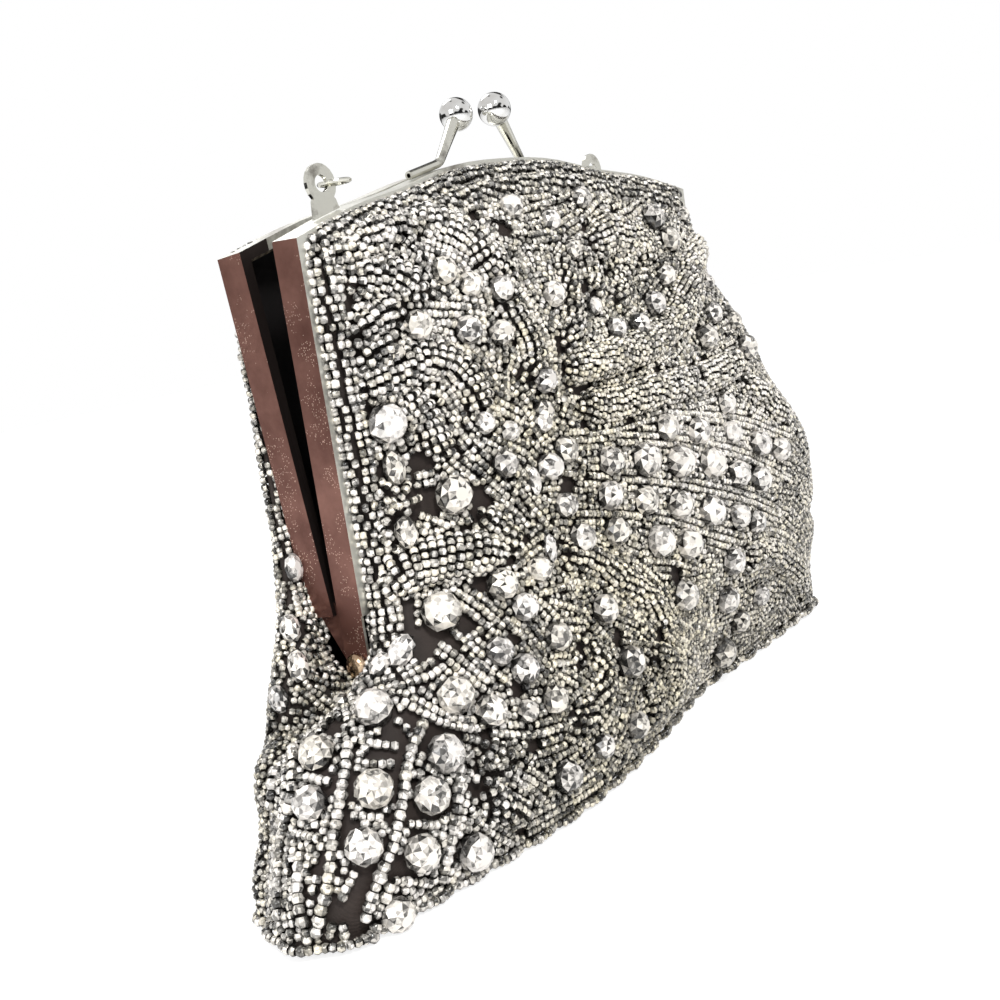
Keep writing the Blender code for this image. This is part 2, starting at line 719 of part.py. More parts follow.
frame_jaw("front_frame", front, front_body, copper)
frame_jaw("back_frame", back, back_body, copper)
for hand, word in ((-1, "left"), (1, "right")):
    rivet(f"{word}_hinge_rivet", hand, front_body, silver)
    washer(f"{word}_hinge_washer", hand, front_body, silver)
for side, word, body, ring_body in ((front, "front", front_body, front_ring_body),
                                    (back, "back", back_body, back_ring_body)):
    clasp_stem(f"{word}_clasp_stem", side, body, silver)
    clasp_ball(f"{word}_clasp_ball", side, body, chrome)
    chain_lug(f"{word}_chain_lug", side, body, silver)
    jump_ring(f"{word}_jump_ring", side, ring_body, silver)
    jaw_panel(f"{word}_panel", side, body, beadwork, 0, fabric, hangs_out=side == front)
    jaw_panel(f"{word}_panel_lining", side, body, satin, fabric + fit, lining,
              short_of_arm=lining_short if side == front else 0,
              ease=lining_ease if side == front else 0)
    filler_cord(f"{word}_filler_cord", side, body, paper)
pouch_shell("lower_pouch", pouch_body, beadwork, 0, fabric)
pouch_shell("lower_pouch_lining", pouch_body, satin, fabric + fit, lining, lining_short_rows)
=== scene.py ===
# Looks of a beaded evening handbag on a kiss-clasp frame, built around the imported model.
# Bag millimetres: x across, y 0 where the two jaws meet and minus to the front, z up from the base.
import math

import bmesh
import bpy
import numpy as np
from mathutils import Matrix, Quaternion, Vector
from mathutils.bvhtree import BVHTree
from mathutils.kdtree import KDTree


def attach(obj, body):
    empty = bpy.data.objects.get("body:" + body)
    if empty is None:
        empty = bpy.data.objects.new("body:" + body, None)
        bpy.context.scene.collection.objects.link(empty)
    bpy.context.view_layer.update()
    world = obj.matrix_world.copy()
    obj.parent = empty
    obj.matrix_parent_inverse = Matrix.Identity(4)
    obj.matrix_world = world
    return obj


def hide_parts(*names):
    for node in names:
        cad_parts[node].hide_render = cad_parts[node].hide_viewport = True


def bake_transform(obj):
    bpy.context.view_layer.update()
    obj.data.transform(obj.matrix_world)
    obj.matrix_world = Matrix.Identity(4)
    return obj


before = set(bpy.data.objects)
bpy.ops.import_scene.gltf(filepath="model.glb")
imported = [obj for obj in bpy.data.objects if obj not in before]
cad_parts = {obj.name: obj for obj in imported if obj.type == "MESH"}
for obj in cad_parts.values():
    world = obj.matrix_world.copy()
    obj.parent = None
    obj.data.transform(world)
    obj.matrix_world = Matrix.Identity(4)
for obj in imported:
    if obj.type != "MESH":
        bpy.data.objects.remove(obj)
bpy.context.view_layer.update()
mm = 0.001
meetingLine = 6.0                      # world y of the bag's own y = 0, in mm
frontSide, backSide = -1, 1
rng = np.random.default_rng(20)

# Frame sizes that the cloth and beads follow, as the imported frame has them, in mm
frameMetal = dict(halfWidth=80.0, corner=141.0, rise=13.4, riseShares=(1.0, 0.925, 0.63, 0.39, 0.0),
                  hingeX=83.0, hingeY=-3.75, hingeZ=47.0)
print("frame loaded")


def toFrame(point):                    # bag millimetres to the frame's metres
    return Vector((point[0] * mm, (point[1] + meetingLine) * mm, point[2] * mm))


def clamp(value):
    return min(max(value, 0.0), 1.0)


def smoothValue(values, share):        # curve through evenly spaced values, level at its start
    last = len(values) - 1
    place = clamp(share) * last
    index = min(int(place), last - 1)
    t = place - index
    a, b = values[index], values[index + 1]
    before = values[index - 1] if index else b
    after = values[index + 2] if index + 2 <= last else 2 * b - a
    slopeA, slopeB = (b - before) / 2, (after - a) / 2
    return ((2 * t**3 - 3 * t**2 + 1) * a + (t**3 - 2 * t**2 + t) * slopeA
            + (3 * t**2 - 2 * t**3) * b + (t**3 - t**2) * slopeB)


def railTop(x):
    f = frameMetal
    return f["corner"] + f["rise"] * smoothValue(f["riseShares"], abs(x) / f["halfWidth"])


def linkObject(name, data):
    made = bpy.data.objects.new(name, data)
    bpy.context.scene.collection.objects.link(made)
    return made


def catmullRom(points, places):        # points (n, k), places from 0 to n - 1
    n = len(points)
    t = np.clip(np.asarray(places, float), 0, n - 1 - 1e-9)
    i = t.astype(int)
    f = (t - i)[:, None]
    p0 = np.where((i > 0)[:, None], points[np.maximum(i - 1, 0)], 2 * points[0] - points[1])
    p1, p2 = points[i], points[i + 1]
    p3 = np.where((i + 2 < n)[:, None], points[np.minimum(i + 2, n - 1)],
                  2 * points[-1] - points[-2])
    return 0.5 * (2 * p1 + (p2 - p0) * f + (2 * p0 - 5 * p1 + 4 * p2 - p3) * f**2
                  + (3 * p1 - p0 - 3 * p2 + p3) * f**3)


# Cloth: outlines of the bag seen from above, at some heights, from its left edge to its right
frontLevels = {
    1.2: [(-114, 1.5), (-119, -6), (-120, -15), (-112, -22.5), (-88, -25.8), (-60, -29.5), (-38, -30),
          (-8, -25.5), (14, -20.5), (38, -15.6), (62, -16), (88, -15.4), (112, -14.5), (119, -8),
          (117, 2)],
    9: [(-112, 1.5), (-117, -7), (-118, -15.5), (-110, -24), (-88, -28), (-62, -31.5), (-38, -31.5),
        (-6, -28), (16, -24), (38, -20), (63, -19), (92, -17.5), (114, -14.5), (119, -8), (117, 2)],
    20: [(-107, 2), (-111, -8), (-110.5, -17.5), (-103, -25.5), (-85, -29.8), (-60, -32), (-33, -32),
         (0, -30), (33, -25.5), (66, -22.8), (95, -21), (113, -16.6), (118.5, -8), (114, 2)],
    32: [(-103, 1), (-105, -6), (-101, -16), (-91, -24.5), (-64, -29), (-33, -31), (0, -30.5),
         (33, -29), (66, -27.5), (95, -24.5), (112, -19), (116.5, -10), (108, 0)],
    41: [(-84, -3.5), (-88, -7), (-88, -14), (-83, -21.5), (-62, -27), (-32, -30), (0, -30.5),
         (33, -30), (66, -29), (95, -26.5), (111, -21), (110, -12), (85, -4)],
    50: [(-77.5, -8.3), (-79, -9.8), (-78, -13.5), (-74, -18.5), (-58, -25.5), (-31, -29.5),
         (0, -30.5), (33, -30.3), (66, -29.8), (94, -28), (110, -22), (104, -12.5), (78, -8.5)],
    62: [(-76.6, -7.2), (-76.2, -9.6), (-74, -12.5), (-69, -16), (-55, -23), (-30, -28), (0, -30),
         (33, -30.3), (66, -30), (92, -28.5), (106, -22.5), (98, -13.5), (76.8, -8)],
    88: [(-76.6, -8.8), (-76.2, -10.6), (-73.5, -12.8), (-67, -15.5), (-53, -20.5), (-29, -25.5),
         (0, -27.6), (33, -28), (62, -27.4), (80, -25.4), (90.5, -20), (87, -13.4), (76.8, -9.4)],
    117: [(-76.6, -10.4), (-76.2, -12), (-73, -13.5), (-66, -15), (-51, -18), (-28, -21),
          (0, -22), (31, -22), (57, -20.8), (71, -18), (78, -14.4), (78.6, -12.2), (76.8, -11)],
    132: [(-76.6, -11.2), (-75.8, -12.8), (-72, -13.6), (-65, -14.2), (-50, -14.8), (-27, -15.2),
          (0, -15.4), (28, -15.4), (54, -15), (68, -14.2), (75, -13.4), (77, -12.4), (76.8, -11.8)],
    138.6: [(-76.6, -11.4), (-75, -11.6), (-70, -11), (-62, -10.2), (-47, -9), (-25, -8), (0, -7.2),
            (25, -8), (47, -9), (62, -10.2), (70, -11), (75, -11.6), (76.8, -11.4)],
}
backLevels = {
    1.2: [(-114, 1.5), (-112, 6), (-105, 9.5), (-94, 11.5), (-66, 13), (-33, 14), (0, 14)],
    9: [(-112, 1.5), (-112, 6), (-104, 10.5), (-93, 13), (-66, 15), (-33, 15.8), (0, 15.8)],
    20: [(-107, 2), (-107, 6), (-98, 10.5), (-89, 14), (-64, 16.2), (-32, 17), (0, 17.2)],
    32: [(-103, 1), (-104, 6), (-98, 11.5), (-89, 15.5), (-62, 17.8), (-31, 18.6), (0, 19)],
    41: [(-84, -3.5), (-93, -1), (-99, 4.5), (-94, 10.5), (-84, 15), (-50, 18.5), (0, 19.6)],
    50: [(-81, 4.5), (-89, 2.5), (-95, 5), (-90, 10.5), (-81, 15), (-48, 19), (0, 20)],
    62: [(-76.6, 7.2), (-77, 9), (-82, 8.6), (-84.5, 10.5), (-79, 14.6), (-46, 19), (0, 20)],
    88: [(-76.6, 8.6), (-76.8, 11), (-79, 11.6), (-79.5, 13), (-72, 15.6), (-42, 18.6), (0, 20)],
    117: [(-76.6, 10.2), (-76.2, 12.4), (-77, 12.8), (-76.5, 13.8), (-69, 15.4), (-38, 17.4),
          (0, 18.4)],
    132: [(-76.6, 11), (-75.6, 12.6), (-72, 13.4), (-64, 14), (-48, 14.8), (-26, 15.2), (0, 15.4)],
    138.6: [(-76.6, 11.2), (-75, 11.4), (-70, 10.8), (-60, 10), (-45, 8.8), (-24, 7.8), (0, 7.2)],
}
clothSizes = dict(columns=200, rows=120, fineSteps=700, thickness=0.8, liningGap=0.5,
                  liningThickness=0.5, liningInset=2, baseSteps=14, lipInset=2.2, archFrom=60.0,
                  archPower=1.5, foldHeight=1.1, foldLength=26.0, frontFolds=0.7, backFolds=2.9,
                  sideFade=9, endFade=7)


def wholeLevels(halfLevels):           # the right half repeats the left
    return {z: pts + [(-x, y) for x, y in reversed(pts[:-1])] for z, pts in halfLevels.items()}


def foldWave(x, z, seed):              # soft uneven folds, -1 to 1
    s = clothSizes["foldLength"]
    a = math.sin(x / s * 2.1 + 1.3 * math.sin(z / s * 1.1 + seed) + seed)
    b = math.sin(z / s * 2.6 + 1.7 * math.sin(x / s * 0.9 - seed * 2))
    return 0.6 * a * b + 0.4 * math.sin((x + z) / s * 1.7 + seed * 3)


def clothGrid(levels, side, seed):     # rows up from the base, columns from left to right, in mm
    s = clothSizes
    heights = list(levels)
    columns, rows = s["columns"], s["rows"]
    sections = []
    for z in heights:
        points = np.array(levels[z], float)
        fine = catmullRom(points, np.linspace(0, len(points) - 1, s["fineSteps"]))
        run = np.r_[0, np.cumsum(np.hypot(*np.diff(fine, axis=0).T))]
        even = np.linspace(0, run[-1], columns + 1)
        xs, ys = (np.interp(even, run, fine[:, axis]) for axis in (0, 1))
        sections.append(np.c_[xs, ys, np.full(columns + 1, z)])
    sections = np.array(sections)
    top = heights[-1]
    for row, z in enumerate(heights):  # the upper rows bend to the arch of the rail
        share = clamp((z - s["archFrom"]) / (top - s["archFrom"])) ** s["archPower"]
        for point in sections[row]:
            point[2] = z + (railTop(point[0]) - s["lipInset"] - top) * share
    steps = np.linalg.norm(np.diff(sections, axis=0), axis=2).mean(1)
    run = np.r_[0, np.cumsum(steps)]
    places = np.interp(np.linspace(0, run[-1], rows + 1), run, np.arange(len(run)))
    grid = np.stack([catmullRom(sections[:, j], places) for j in range(columns + 1)], axis=1)
    for i in range(rows + 1):
        for j in range(columns + 1):   # no folds at the edges
            edge = min(j, columns - j) / columns * s["sideFade"]
            fade = (min(edge, 1) * min(i / rows * s["endFade"], 1)
                    * min((rows - i) / rows * s["endFade"], 1))
            x, _, z = grid[i, j]
            grid[i, j, 1] += side * s["foldHeight"] * fade * foldWave(x, z, seed)
    return grid


def gridNormals(grid, side):
    du = np.gradient(grid, axis=1)
    dv = np.gradient(grid, axis=0)
    normal = np.cross(du, dv) * (1 if side == frontSide else -1)
    return normal / np.maximum(np.linalg.norm(normal, axis=2, keepdims=True), 1e-9)


def skinMesh(name, grid, normals, near, far, side):   # a closed skin between two depths, mm
    rows, columns = grid.shape[0], grid.shape[1]
    outer = grid - normals * near
    inner = grid - normals * far
    points = np.concatenate([outer.reshape(-1, 3), inner.reshape(-1, 3)])
    points[:, 1] += meetingLine
    half = rows * columns
    quads = []
    for i in range(rows - 1):
        for j in range(columns - 1):
            a = i * columns + j
            quad = (a, a + 1, a + columns + 1, a + columns)
            quads.append(quad)
            quads.append(tuple(half + k for k in reversed(quad)))
    rim = ([i * columns for i in range(rows - 1, 0, -1)] + list(range(columns - 1))
           + [i * columns + columns - 1 for i in range(rows - 1)]
           + [(rows - 1) * columns + j for j in range(columns - 1, 0, -1)])
    for a, b in zip(rim, rim[1:] + rim[:1]):
        quads.append((b, a, half + a, half + b))
    if side == backSide:
        quads = [tuple(reversed(quad)) for quad in quads]
    mesh = bpy.data.meshes.new(name)
    mesh.from_pydata((points * mm).tolist(), [], quads)
    mesh.shade_smooth()
    return mesh


frontGrid = clothGrid(frontLevels, frontSide, clothSizes["frontFolds"])
backGrid = clothGrid(wholeLevels(backLevels), backSide, clothSizes["backFolds"])
frontNormals = gridNormals(frontGrid, frontSide)
backNormals = gridNormals(backGrid, backSide)
print("cloth surfaces laid out")


# Materials


def newMaterial(name):
    made = bpy.data.materials.new(name)
    made.use_nodes = True
    return made, made.node_tree, made.node_tree.nodes["Principled BSDF"]


def newGroup(name, inputs, outputs):
    group = bpy.data.node_groups.new(name, "ShaderNodeTree")
    for label, kind, value in inputs:
        socket = group.interface.new_socket(label, in_out="INPUT", socket_type=kind)
        socket.default_value = value
    for label, kind in outputs:
        group.interface.new_socket(label, in_out="OUTPUT", socket_type=kind)
    return group, group.nodes.new("NodeGroupInput"), group.nodes.new("NodeGroupOutput")


def setInputs(node, values):           # by the labels of the node's sockets
    for label, value in values.items():
        node.inputs[label].default_value = value


def feed(tree, socket, value):         # a number or a colour is set, an output is linked
    if isinstance(value, (int, float)):
        socket.default_value = value
    elif isinstance(value, tuple):
        socket.default_value = (*value, 1.0)
    else:
        tree.links.new(value, socket)


def mathNode(tree, operation, a, b=None):
    node = tree.nodes.new("ShaderNodeMath")
    node.operation = operation
    feed(tree, node.inputs[0], a)
    if b is not None:
        feed(tree, node.inputs[1], b)
    return node.outputs[0]


def mixColour(tree, factor, a, b, blend="MIX"):
    node = tree.nodes.new("ShaderNodeMix")
    node.data_type = "RGBA"
    node.blend_type = blend
    for slot, value in ((0, factor), (6, a), (7, b)):
        feed(tree, node.inputs[slot], value)
    return node.outputs[2]


def colourRamp(tree, factor, stops):
    node = tree.nodes.new("ShaderNodeValToRGB")
    ramp = node.color_ramp
    while len(ramp.elements) < len(stops):
        ramp.elements.new(0.5)
    for element, (place, colour) in zip(ramp.elements, stops):
        element.position = place
        element.color = (*colour, 1.0)
    tree.links.new(factor, node.inputs[0])
    return node.outputs[0]


def swing(tree, value, amount):        # a value round 0.5 made to swing round 0
    return mathNode(tree, "MULTIPLY", mathNode(tree, "SUBTRACT", value, 0.5), amount)


def partsOf(tree, kind, value):        # the single parts of a vector or a colour
    node = tree.nodes.new("ShaderNodeSeparate" + kind)
    tree.links.new(value, node.inputs[0])
    return node.outputs


def placeOn(tree):
    return tree.nodes.new("ShaderNodeTexCoord").outputs["Object"]


def textureNode(tree, kind, vector, values):
    node = tree.nodes.new("ShaderNodeTex" + kind)
    tree.links.new(vector, node.inputs["Vector"])
    setInputs(node, values)
    return node


def noise(tree, vector, scale, detail=3.0, roughness=0.55):
    values = {"Scale": scale, "Detail": detail, "Roughness": roughness}
    return textureNode(tree, "Noise", vector, values).outputs[0]


def weaveOf(tree, vector, values):     # slanting bands, for threads and twisted paper
    wave = textureNode(tree, "Wave", vector, values)
    wave.bands_direction = "DIAGONAL"
    return wave.outputs["Fac"]


def bumpTo(tree, shader, height, strength, distance):
    bump = tree.nodes.new("ShaderNodeBump")
    setInputs(bump, {"Strength": strength, "Distance": distance})
    tree.links.new(height, bump.inputs["Height"])
    tree.links.new(bump.outputs[0], shader.inputs["Normal"])


def buildSpecksGroup():                # small pits and bright specks with smudges, for plated metal
    look = dict(cells=1900, speck=0.24, patches=170, patchFrom=0.53, smudges=55, smudgeRoughness=0.65,
                pits=600)
    group, given, out = newGroup("platingSpecks",
                                 [("Vector", "NodeSocketVector", (0, 0, 0)),
                                  ("Fineness", "NodeSocketFloat", 1.0)],
                                 [("Specks", "NodeSocketFloat"), ("Smudge", "NodeSocketFloat"),
                                  ("Height", "NodeSocketFloat")])
    scaled = group.nodes.new("ShaderNodeVectorMath")
    scaled.operation = "SCALE"
    group.links.new(given.outputs["Vector"], scaled.inputs[0])
    group.links.new(given.outputs["Fineness"], scaled.inputs["Scale"])
    spot = scaled.outputs[0]
    cells = textureNode(group, "Voronoi", spot, {"Scale": look["cells"]})
    dot = mathNode(group, "LESS_THAN", cells.outputs["Distance"], look["speck"])
    gate = mathNode(group, "GREATER_THAN", noise(group, spot, look["patches"]), look["patchFrom"])
    specks = mathNode(group, "MULTIPLY", dot, gate)
    smudge = noise(group, spot, look["smudges"], 5, look["smudgeRoughness"])
    height = mathNode(group, "ADD", noise(group, spot, look["pits"], 2), specks)
    for label, value in (("Specks", specks), ("Smudge", smudge), ("Height", height)):
        group.links.new(value, out.inputs[label])
    return group


specksGroup = buildSpecksGroup()
speckHeight = 0.0002                   # metres that the specks stand up on any plated piece


def specksOn(tree, place, fineness):
    node = tree.nodes.new("ShaderNodeGroup")
    node.node_tree = specksGroup
    tree.links.new(place, node.inputs["Vector"])
    node.inputs["Fineness"].default_value = fineness
    return node.outputs


def frameMaterial(name, inward):       # copper-brown sides with painted light and shade by height, pale silver lips, painted shade inside the arms
    look = dict(copper=(0.13, 0.056, 0.043), copperLight=(0.31, 0.155, 0.122), copperRamp=(0.32, 0.75),
                speck=(0.60, 0.40, 0.32), silver=(0.66, 0.65, 0.59), silverDark=(0.22, 0.20, 0.17),
                silverRamp=(0.30, 0.46), inside=(0.03, 0.022, 0.02), fineness=1.0, metallic=0.7,
                roughness=0.32, armFrom=0.072, middle=0.115, paintedShade=2.6, sideFrom=0.75, innerFrom=0.6,
                bump=0.25)
    made, tree, shader = newMaterial(name)
    coordinates = tree.nodes.new("ShaderNodeTexCoord")
    facing = partsOf(tree, "XYZ", coordinates.outputs["Normal"])
    spot = partsOf(tree, "XYZ", coordinates.outputs["Object"])
    specks = specksOn(tree, coordinates.outputs["Object"], look["fineness"])
    # painted light and shade: the copper is lighter higher up and darker lower down, and smudge below
    # holds that as well as the smudges
    height = mathNode(tree, "SUBTRACT", spot["Z"], look["middle"])
    height = mathNode(tree, "MULTIPLY", height, look["paintedShade"])
    smudge = colourRamp(tree, mathNode(tree, "ADD", specks["Smudge"], height),
                        list(zip(look["copperRamp"], (look["copper"], look["copperLight"]))))
    copper = mixColour(tree, specks["Specks"], smudge, look["speck"])
    silver = colourRamp(tree, specks["Smudge"],
                        list(zip(look["silverRamp"], (look["silverDark"], look["silver"]))))
    isSide = mathNode(tree, "GREATER_THAN", mathNode(tree, "ABSOLUTE", facing["X"]), look["sideFrom"])
    inner = mathNode(tree, "MULTIPLY", facing["Y"], inward)
    onArm = mathNode(tree, "GREATER_THAN", mathNode(tree, "ABSOLUTE", spot["X"]), look["armFrom"])
    # painted shade: the inward faces of the arms are made nearly black
    isInner = mathNode(tree, "GREATER_THAN", inner, look["innerFrom"])
    isInner = mathNode(tree, "MULTIPLY", isInner, onArm)
    outside = mixColour(tree, isSide, silver, copper)
    tree.links.new(mixColour(tree, isInner, outside, look["inside"]), shader.inputs["Base Color"])
    setInputs(shader, {"Metallic": look["metallic"], "Roughness": look["roughness"]})
    bumpTo(tree, shader, specks["Height"], look["bump"], speckHeight)
    return made


# Plain plated pieces: two tones, where the smudges turn from one to the other, gloss and specks
platedLooks = dict(
    silverPlate=dict(dull=(0.20, 0.185, 0.16), bright=(0.66, 0.65, 0.585), ramp=(0.30, 0.44),
                     roughness=0.14, fineness=1.6, bump=0.12),
    chromeBall=dict(dull=(0.60, 0.58, 0.55), bright=(0.80, 0.80, 0.79), ramp=(0.30, 0.60),
                    roughness=0.05, fineness=2.2, bump=0),
    bronzeRivet=dict(dull=(0.22, 0.12, 0.07), bright=(0.72, 0.56, 0.38), ramp=(0.34, 0.52),
                     roughness=0.2, fineness=1.8, bump=0.1))


def platedMaterial(name):
    look = platedLooks[name]
    made, tree, shader = newMaterial(name)
    specks = specksOn(tree, placeOn(tree), look["fineness"])
    tone = colourRamp(tree, specks["Smudge"], list(zip(look["ramp"], (look["dull"], look["bright"]))))
    tree.links.new(tone, shader.inputs["Base Color"])
    setInputs(shader, {"Metallic": 1.0, "Roughness": look["roughness"]})
    if look["bump"]:
        bumpTo(tree, shader, specks["Height"], look["bump"], speckHeight)
    return made


def satinMaterial(name, dark, light):  # woven satin with a soft sheen
    look = dict(threads=2200, wander=2.0, mottle=120, ramp=(0.1, 0.6), roughness=0.55, gloss=0.2,
                sheen=0.04, bump=0.3, bumpHeight=0.0001)
    made, tree, shader = newMaterial(name)
    place = placeOn(tree)
    weave = weaveOf(tree, place, {"Scale": look["threads"], "Distortion": look["wander"]})
    mixed = mathNode(tree, "MULTIPLY", weave, noise(tree, place, look["mottle"], 4))
    tone = colourRamp(tree, mixed, list(zip(look["ramp"], (dark, light))))
    tree.links.new(tone, shader.inputs["Base Color"])
    setInputs(shader, {"Roughness": look["roughness"], "Specular IOR Level": look["gloss"],
                       "Sheen Weight": look["sheen"]})
    bumpTo(tree, shader, weave, look["bump"], look["bumpHeight"])
    return made


def beadMaterial(name, stops, roughness, metallic, sparkle):   # silver-lined glass, with painted highlight, shade and glints in its colour
    look = dict(cool=(1.0, 0.955, 0.91), khaki=(1.0, 0.91, 0.70), clouds=45, cloudDepth=0.5,
                glints=1100, coat=0.6, coatRoughness=0.06)
    made, tree, shader = newMaterial(name)
    tone = tree.nodes.new("ShaderNodeAttribute")
    tone.attribute_name = "beadTone"   # red is how light a facet is, with its painted highlight, painted shade and painted glints, green how khaki its bead
    own = partsOf(tree, "Color", tone.outputs["Color"])
    place = placeOn(tree)
    shift = swing(tree, noise(tree, place, look["clouds"]), look["cloudDepth"])
    # painted glints: small cells of the glass made lighter or darker
    cells = textureNode(tree, "Voronoi", place, {"Scale": look["glints"]})
    glint = swing(tree, partsOf(tree, "Color", cells.outputs["Color"])[0], sparkle)
    total = mathNode(tree, "ADD", mathNode(tree, "ADD", own[0], shift), glint)
    tint = mixColour(tree, own[1], look["cool"], look["khaki"])
    colour = mixColour(tree, 1.0, colourRamp(tree, total, stops), tint, "MULTIPLY")
    tree.links.new(colour, shader.inputs["Base Color"])
    setInputs(shader, {"Metallic": metallic, "Roughness": roughness, "Coat Weight": look["coat"],
                       "Coat Roughness": look["coatRoughness"]})
    return made


def paperMaterial():
    look = dict(twist=260, dark=(0.10, 0.08, 0.055), light=(0.22, 0.18, 0.13), ramp=(0.2, 0.8),
                roughness=0.9, bump=0.5, bumpHeight=0.0003)
    made, tree, shader = newMaterial("twistedPaper")
    twist = weaveOf(tree, placeOn(tree), {"Scale": look["twist"]})
    tone = colourRamp(tree, twist, list(zip(look["ramp"], (look["dark"], look["light"]))))
    tree.links.new(tone, shader.inputs["Base Color"])
    shader.inputs["Roughness"].default_value = look["roughness"]
    bumpTo(tree, shader, twist, look["bump"], look["bumpHeight"])
    return made


platedFront = frameMaterial("platedFrontFrame", 1.0)
platedBack = frameMaterial("platedBackFrame", -1.0)
silver, chrome, bronze = (platedMaterial(name) for name in platedLooks)
paper = paperMaterial()
brownSatin = satinMaterial("brownSatin", (0.016, 0.012, 0.010), (0.060, 0.044, 0.038))
liningSatin = satinMaterial("liningSatin", (0.005, 0.004, 0.004), (0.020, 0.015, 0.016))
seedGlass = beadMaterial("silverLinedGlass",
                         [(0.0, (0.012, 0.012, 0.012)), (0.2, (0.080, 0.080, 0.078)),
                          (0.4, (0.230, 0.230, 0.225)), (0.6, (0.50, 0.50, 0.49)),
                          (0.8, (0.88, 0.88, 0.87)), (1.0, (1.0, 1.0, 1.0))],
                         roughness=0.18, metallic=0.2, sparkle=0.45)
crystalGlass = beadMaterial("mirrorBackedCrystal",
                            [(0.0, (0.02, 0.02, 0.02)), (0.22, (0.11, 0.11, 0.11)),
                             (0.5, (0.46, 0.46, 0.46)), (0.8, (0.92, 0.92, 0.92))],
                            roughness=0.08, metallic=0.3, sparkle=0.4)


def finishOf(name):                    # the solids that stay; cloth stands for panels and pouch
    if name.endswith("_frame"):
        return platedFront if "front" in name else platedBack
    if name.endswith("_ball"):
        return chrome
    if "hinge" in name:
        return bronze
    if name.endswith("_cord"):
        return paper
    return None if "panel" in name or "pouch" in name else silver


for name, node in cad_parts.items():
    finish = finishOf(name)
    if finish:
        node.data.materials.clear()
        node.data.materials.append(finish)
print("materials mixed")


# Cloth and linings


bendZone = dict(low=30.0, high=62.0)   # between these heights the cloth turns from pouch to jaw


def blendAcross(piece):
    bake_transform(piece)


def addSkin(name, grid, normals, near, far, side, finish, nodesHidden):
    made = linkObject(name, skinMesh(name, grid, normals, near, far, side))
    made.data.materials.append(finish)
    blendAcross(made)
    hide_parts(*nodesHidden)


thickness = clothSizes["thickness"]
liningNear = thickness + clothSizes["liningGap"]
liningFar = liningNear + clothSizes["liningThickness"]
inset = slice(clothSizes["liningInset"], -clothSizes["liningInset"])
addSkin("front_cloth", frontGrid, frontNormals, 0, thickness, frontSide,
        brownSatin, ["front_panel", "lower_pouch"])
addSkin("back_cloth", backGrid, backNormals, 0, thickness, backSide,
        brownSatin, ["back_panel"])
addSkin("front_satin_lining", frontGrid[:, inset], frontNormals[:, inset], liningNear, liningFar,
        frontSide, liningSatin,
        ["front_panel_lining", "lower_pouch_lining"])
addSkin("back_satin_lining", backGrid[:, inset], backNormals[:, inset], liningNear, liningFar,
        backSide, liningSatin, ["back_panel_lining"])


def baseSkin():                        # the flat bottom between the two lowest outlines
    steps = clothSizes["baseSteps"]
    front, back = frontGrid[0], backGrid[0]
    grid = np.array([front * (1 - k / steps) + back * (k / steps) for k in range(steps + 1)])
    normals = np.zeros_like(grid)
    normals[..., 2] = -1
    made = linkObject("base_cloth", skinMesh("base_cloth", grid, normals, 0, thickness, backSide))
    made.data.materials.append(brownSatin)
    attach(made, "pouch")


baseSkin()
print("cloth and linings sewn")


# Beads


# Seed beads: mm across, wide up to wideTo and narrow narrowOver mm further to the right. The clear
# space at the hinge pins is in mm, other lengths are shares of a bead, and glintSpread is how far its
# facets differ at random, as painted glints
seedLook = dict(wide=2.3, narrow=1.9, wideTo=-90, narrowOver=160, hingeClear=3.9, cell=2.6,
                pitch=0.68, spread=0.06, rowGap=0.92, roll=0.4, rise=0.42, crowd=0.32,
                tone=0.09, khaki=0.3, khakiSpread=0.2, glintSpread=0.24)
stoneLook = dict(cell=8.0, rise=0.26, crowd=0.43, swell=1.14, fanSwell=1.1, tilt=0.1,
                 tones=(-0.04, 0.12), khaki=0.35, ends=0.4, glintSpread=0.48)


def seedTemplate():                    # a short rounded barrel round x, one across, with painted light in its facet tones
    look = dict(segments=8, end=0.33, endRadius=0.36, radius=0.5, dark=0.24, lit=0.50, hole=0.02)
    n = look["segments"]
    points, faces, tones = [], [], []
    for x, radius in ((-look["end"], look["endRadius"]), (0.0, look["radius"]),
                      (look["end"], look["endRadius"])):
        for k in range(n):
            turn = 2 * math.pi * k / n
            points.append((x, radius * math.sin(turn), radius * math.cos(turn)))
    for low in (0, n):
        for k in range(n):
            a, b = low + k, low + (k + 1) % n
            faces.append((a, b, b + n, a + n))
            # painted highlight on the top facets and painted shade on the side facets, lighter the
            # more a facet faces up
            lit = max(math.cos(2 * math.pi * (k + 0.5) / n), 0) ** 2
            tones.append(look["dark"] + look["lit"] * lit)
    faces += [tuple(reversed(range(n))), tuple(range(2 * n, 3 * n))]
    # the end caps get painted shade, dark as if shaded inside the hole
    tones += [look["hole"]] * 2
    return points, faces, tones, [True] * (2 * n) + [False] * 2


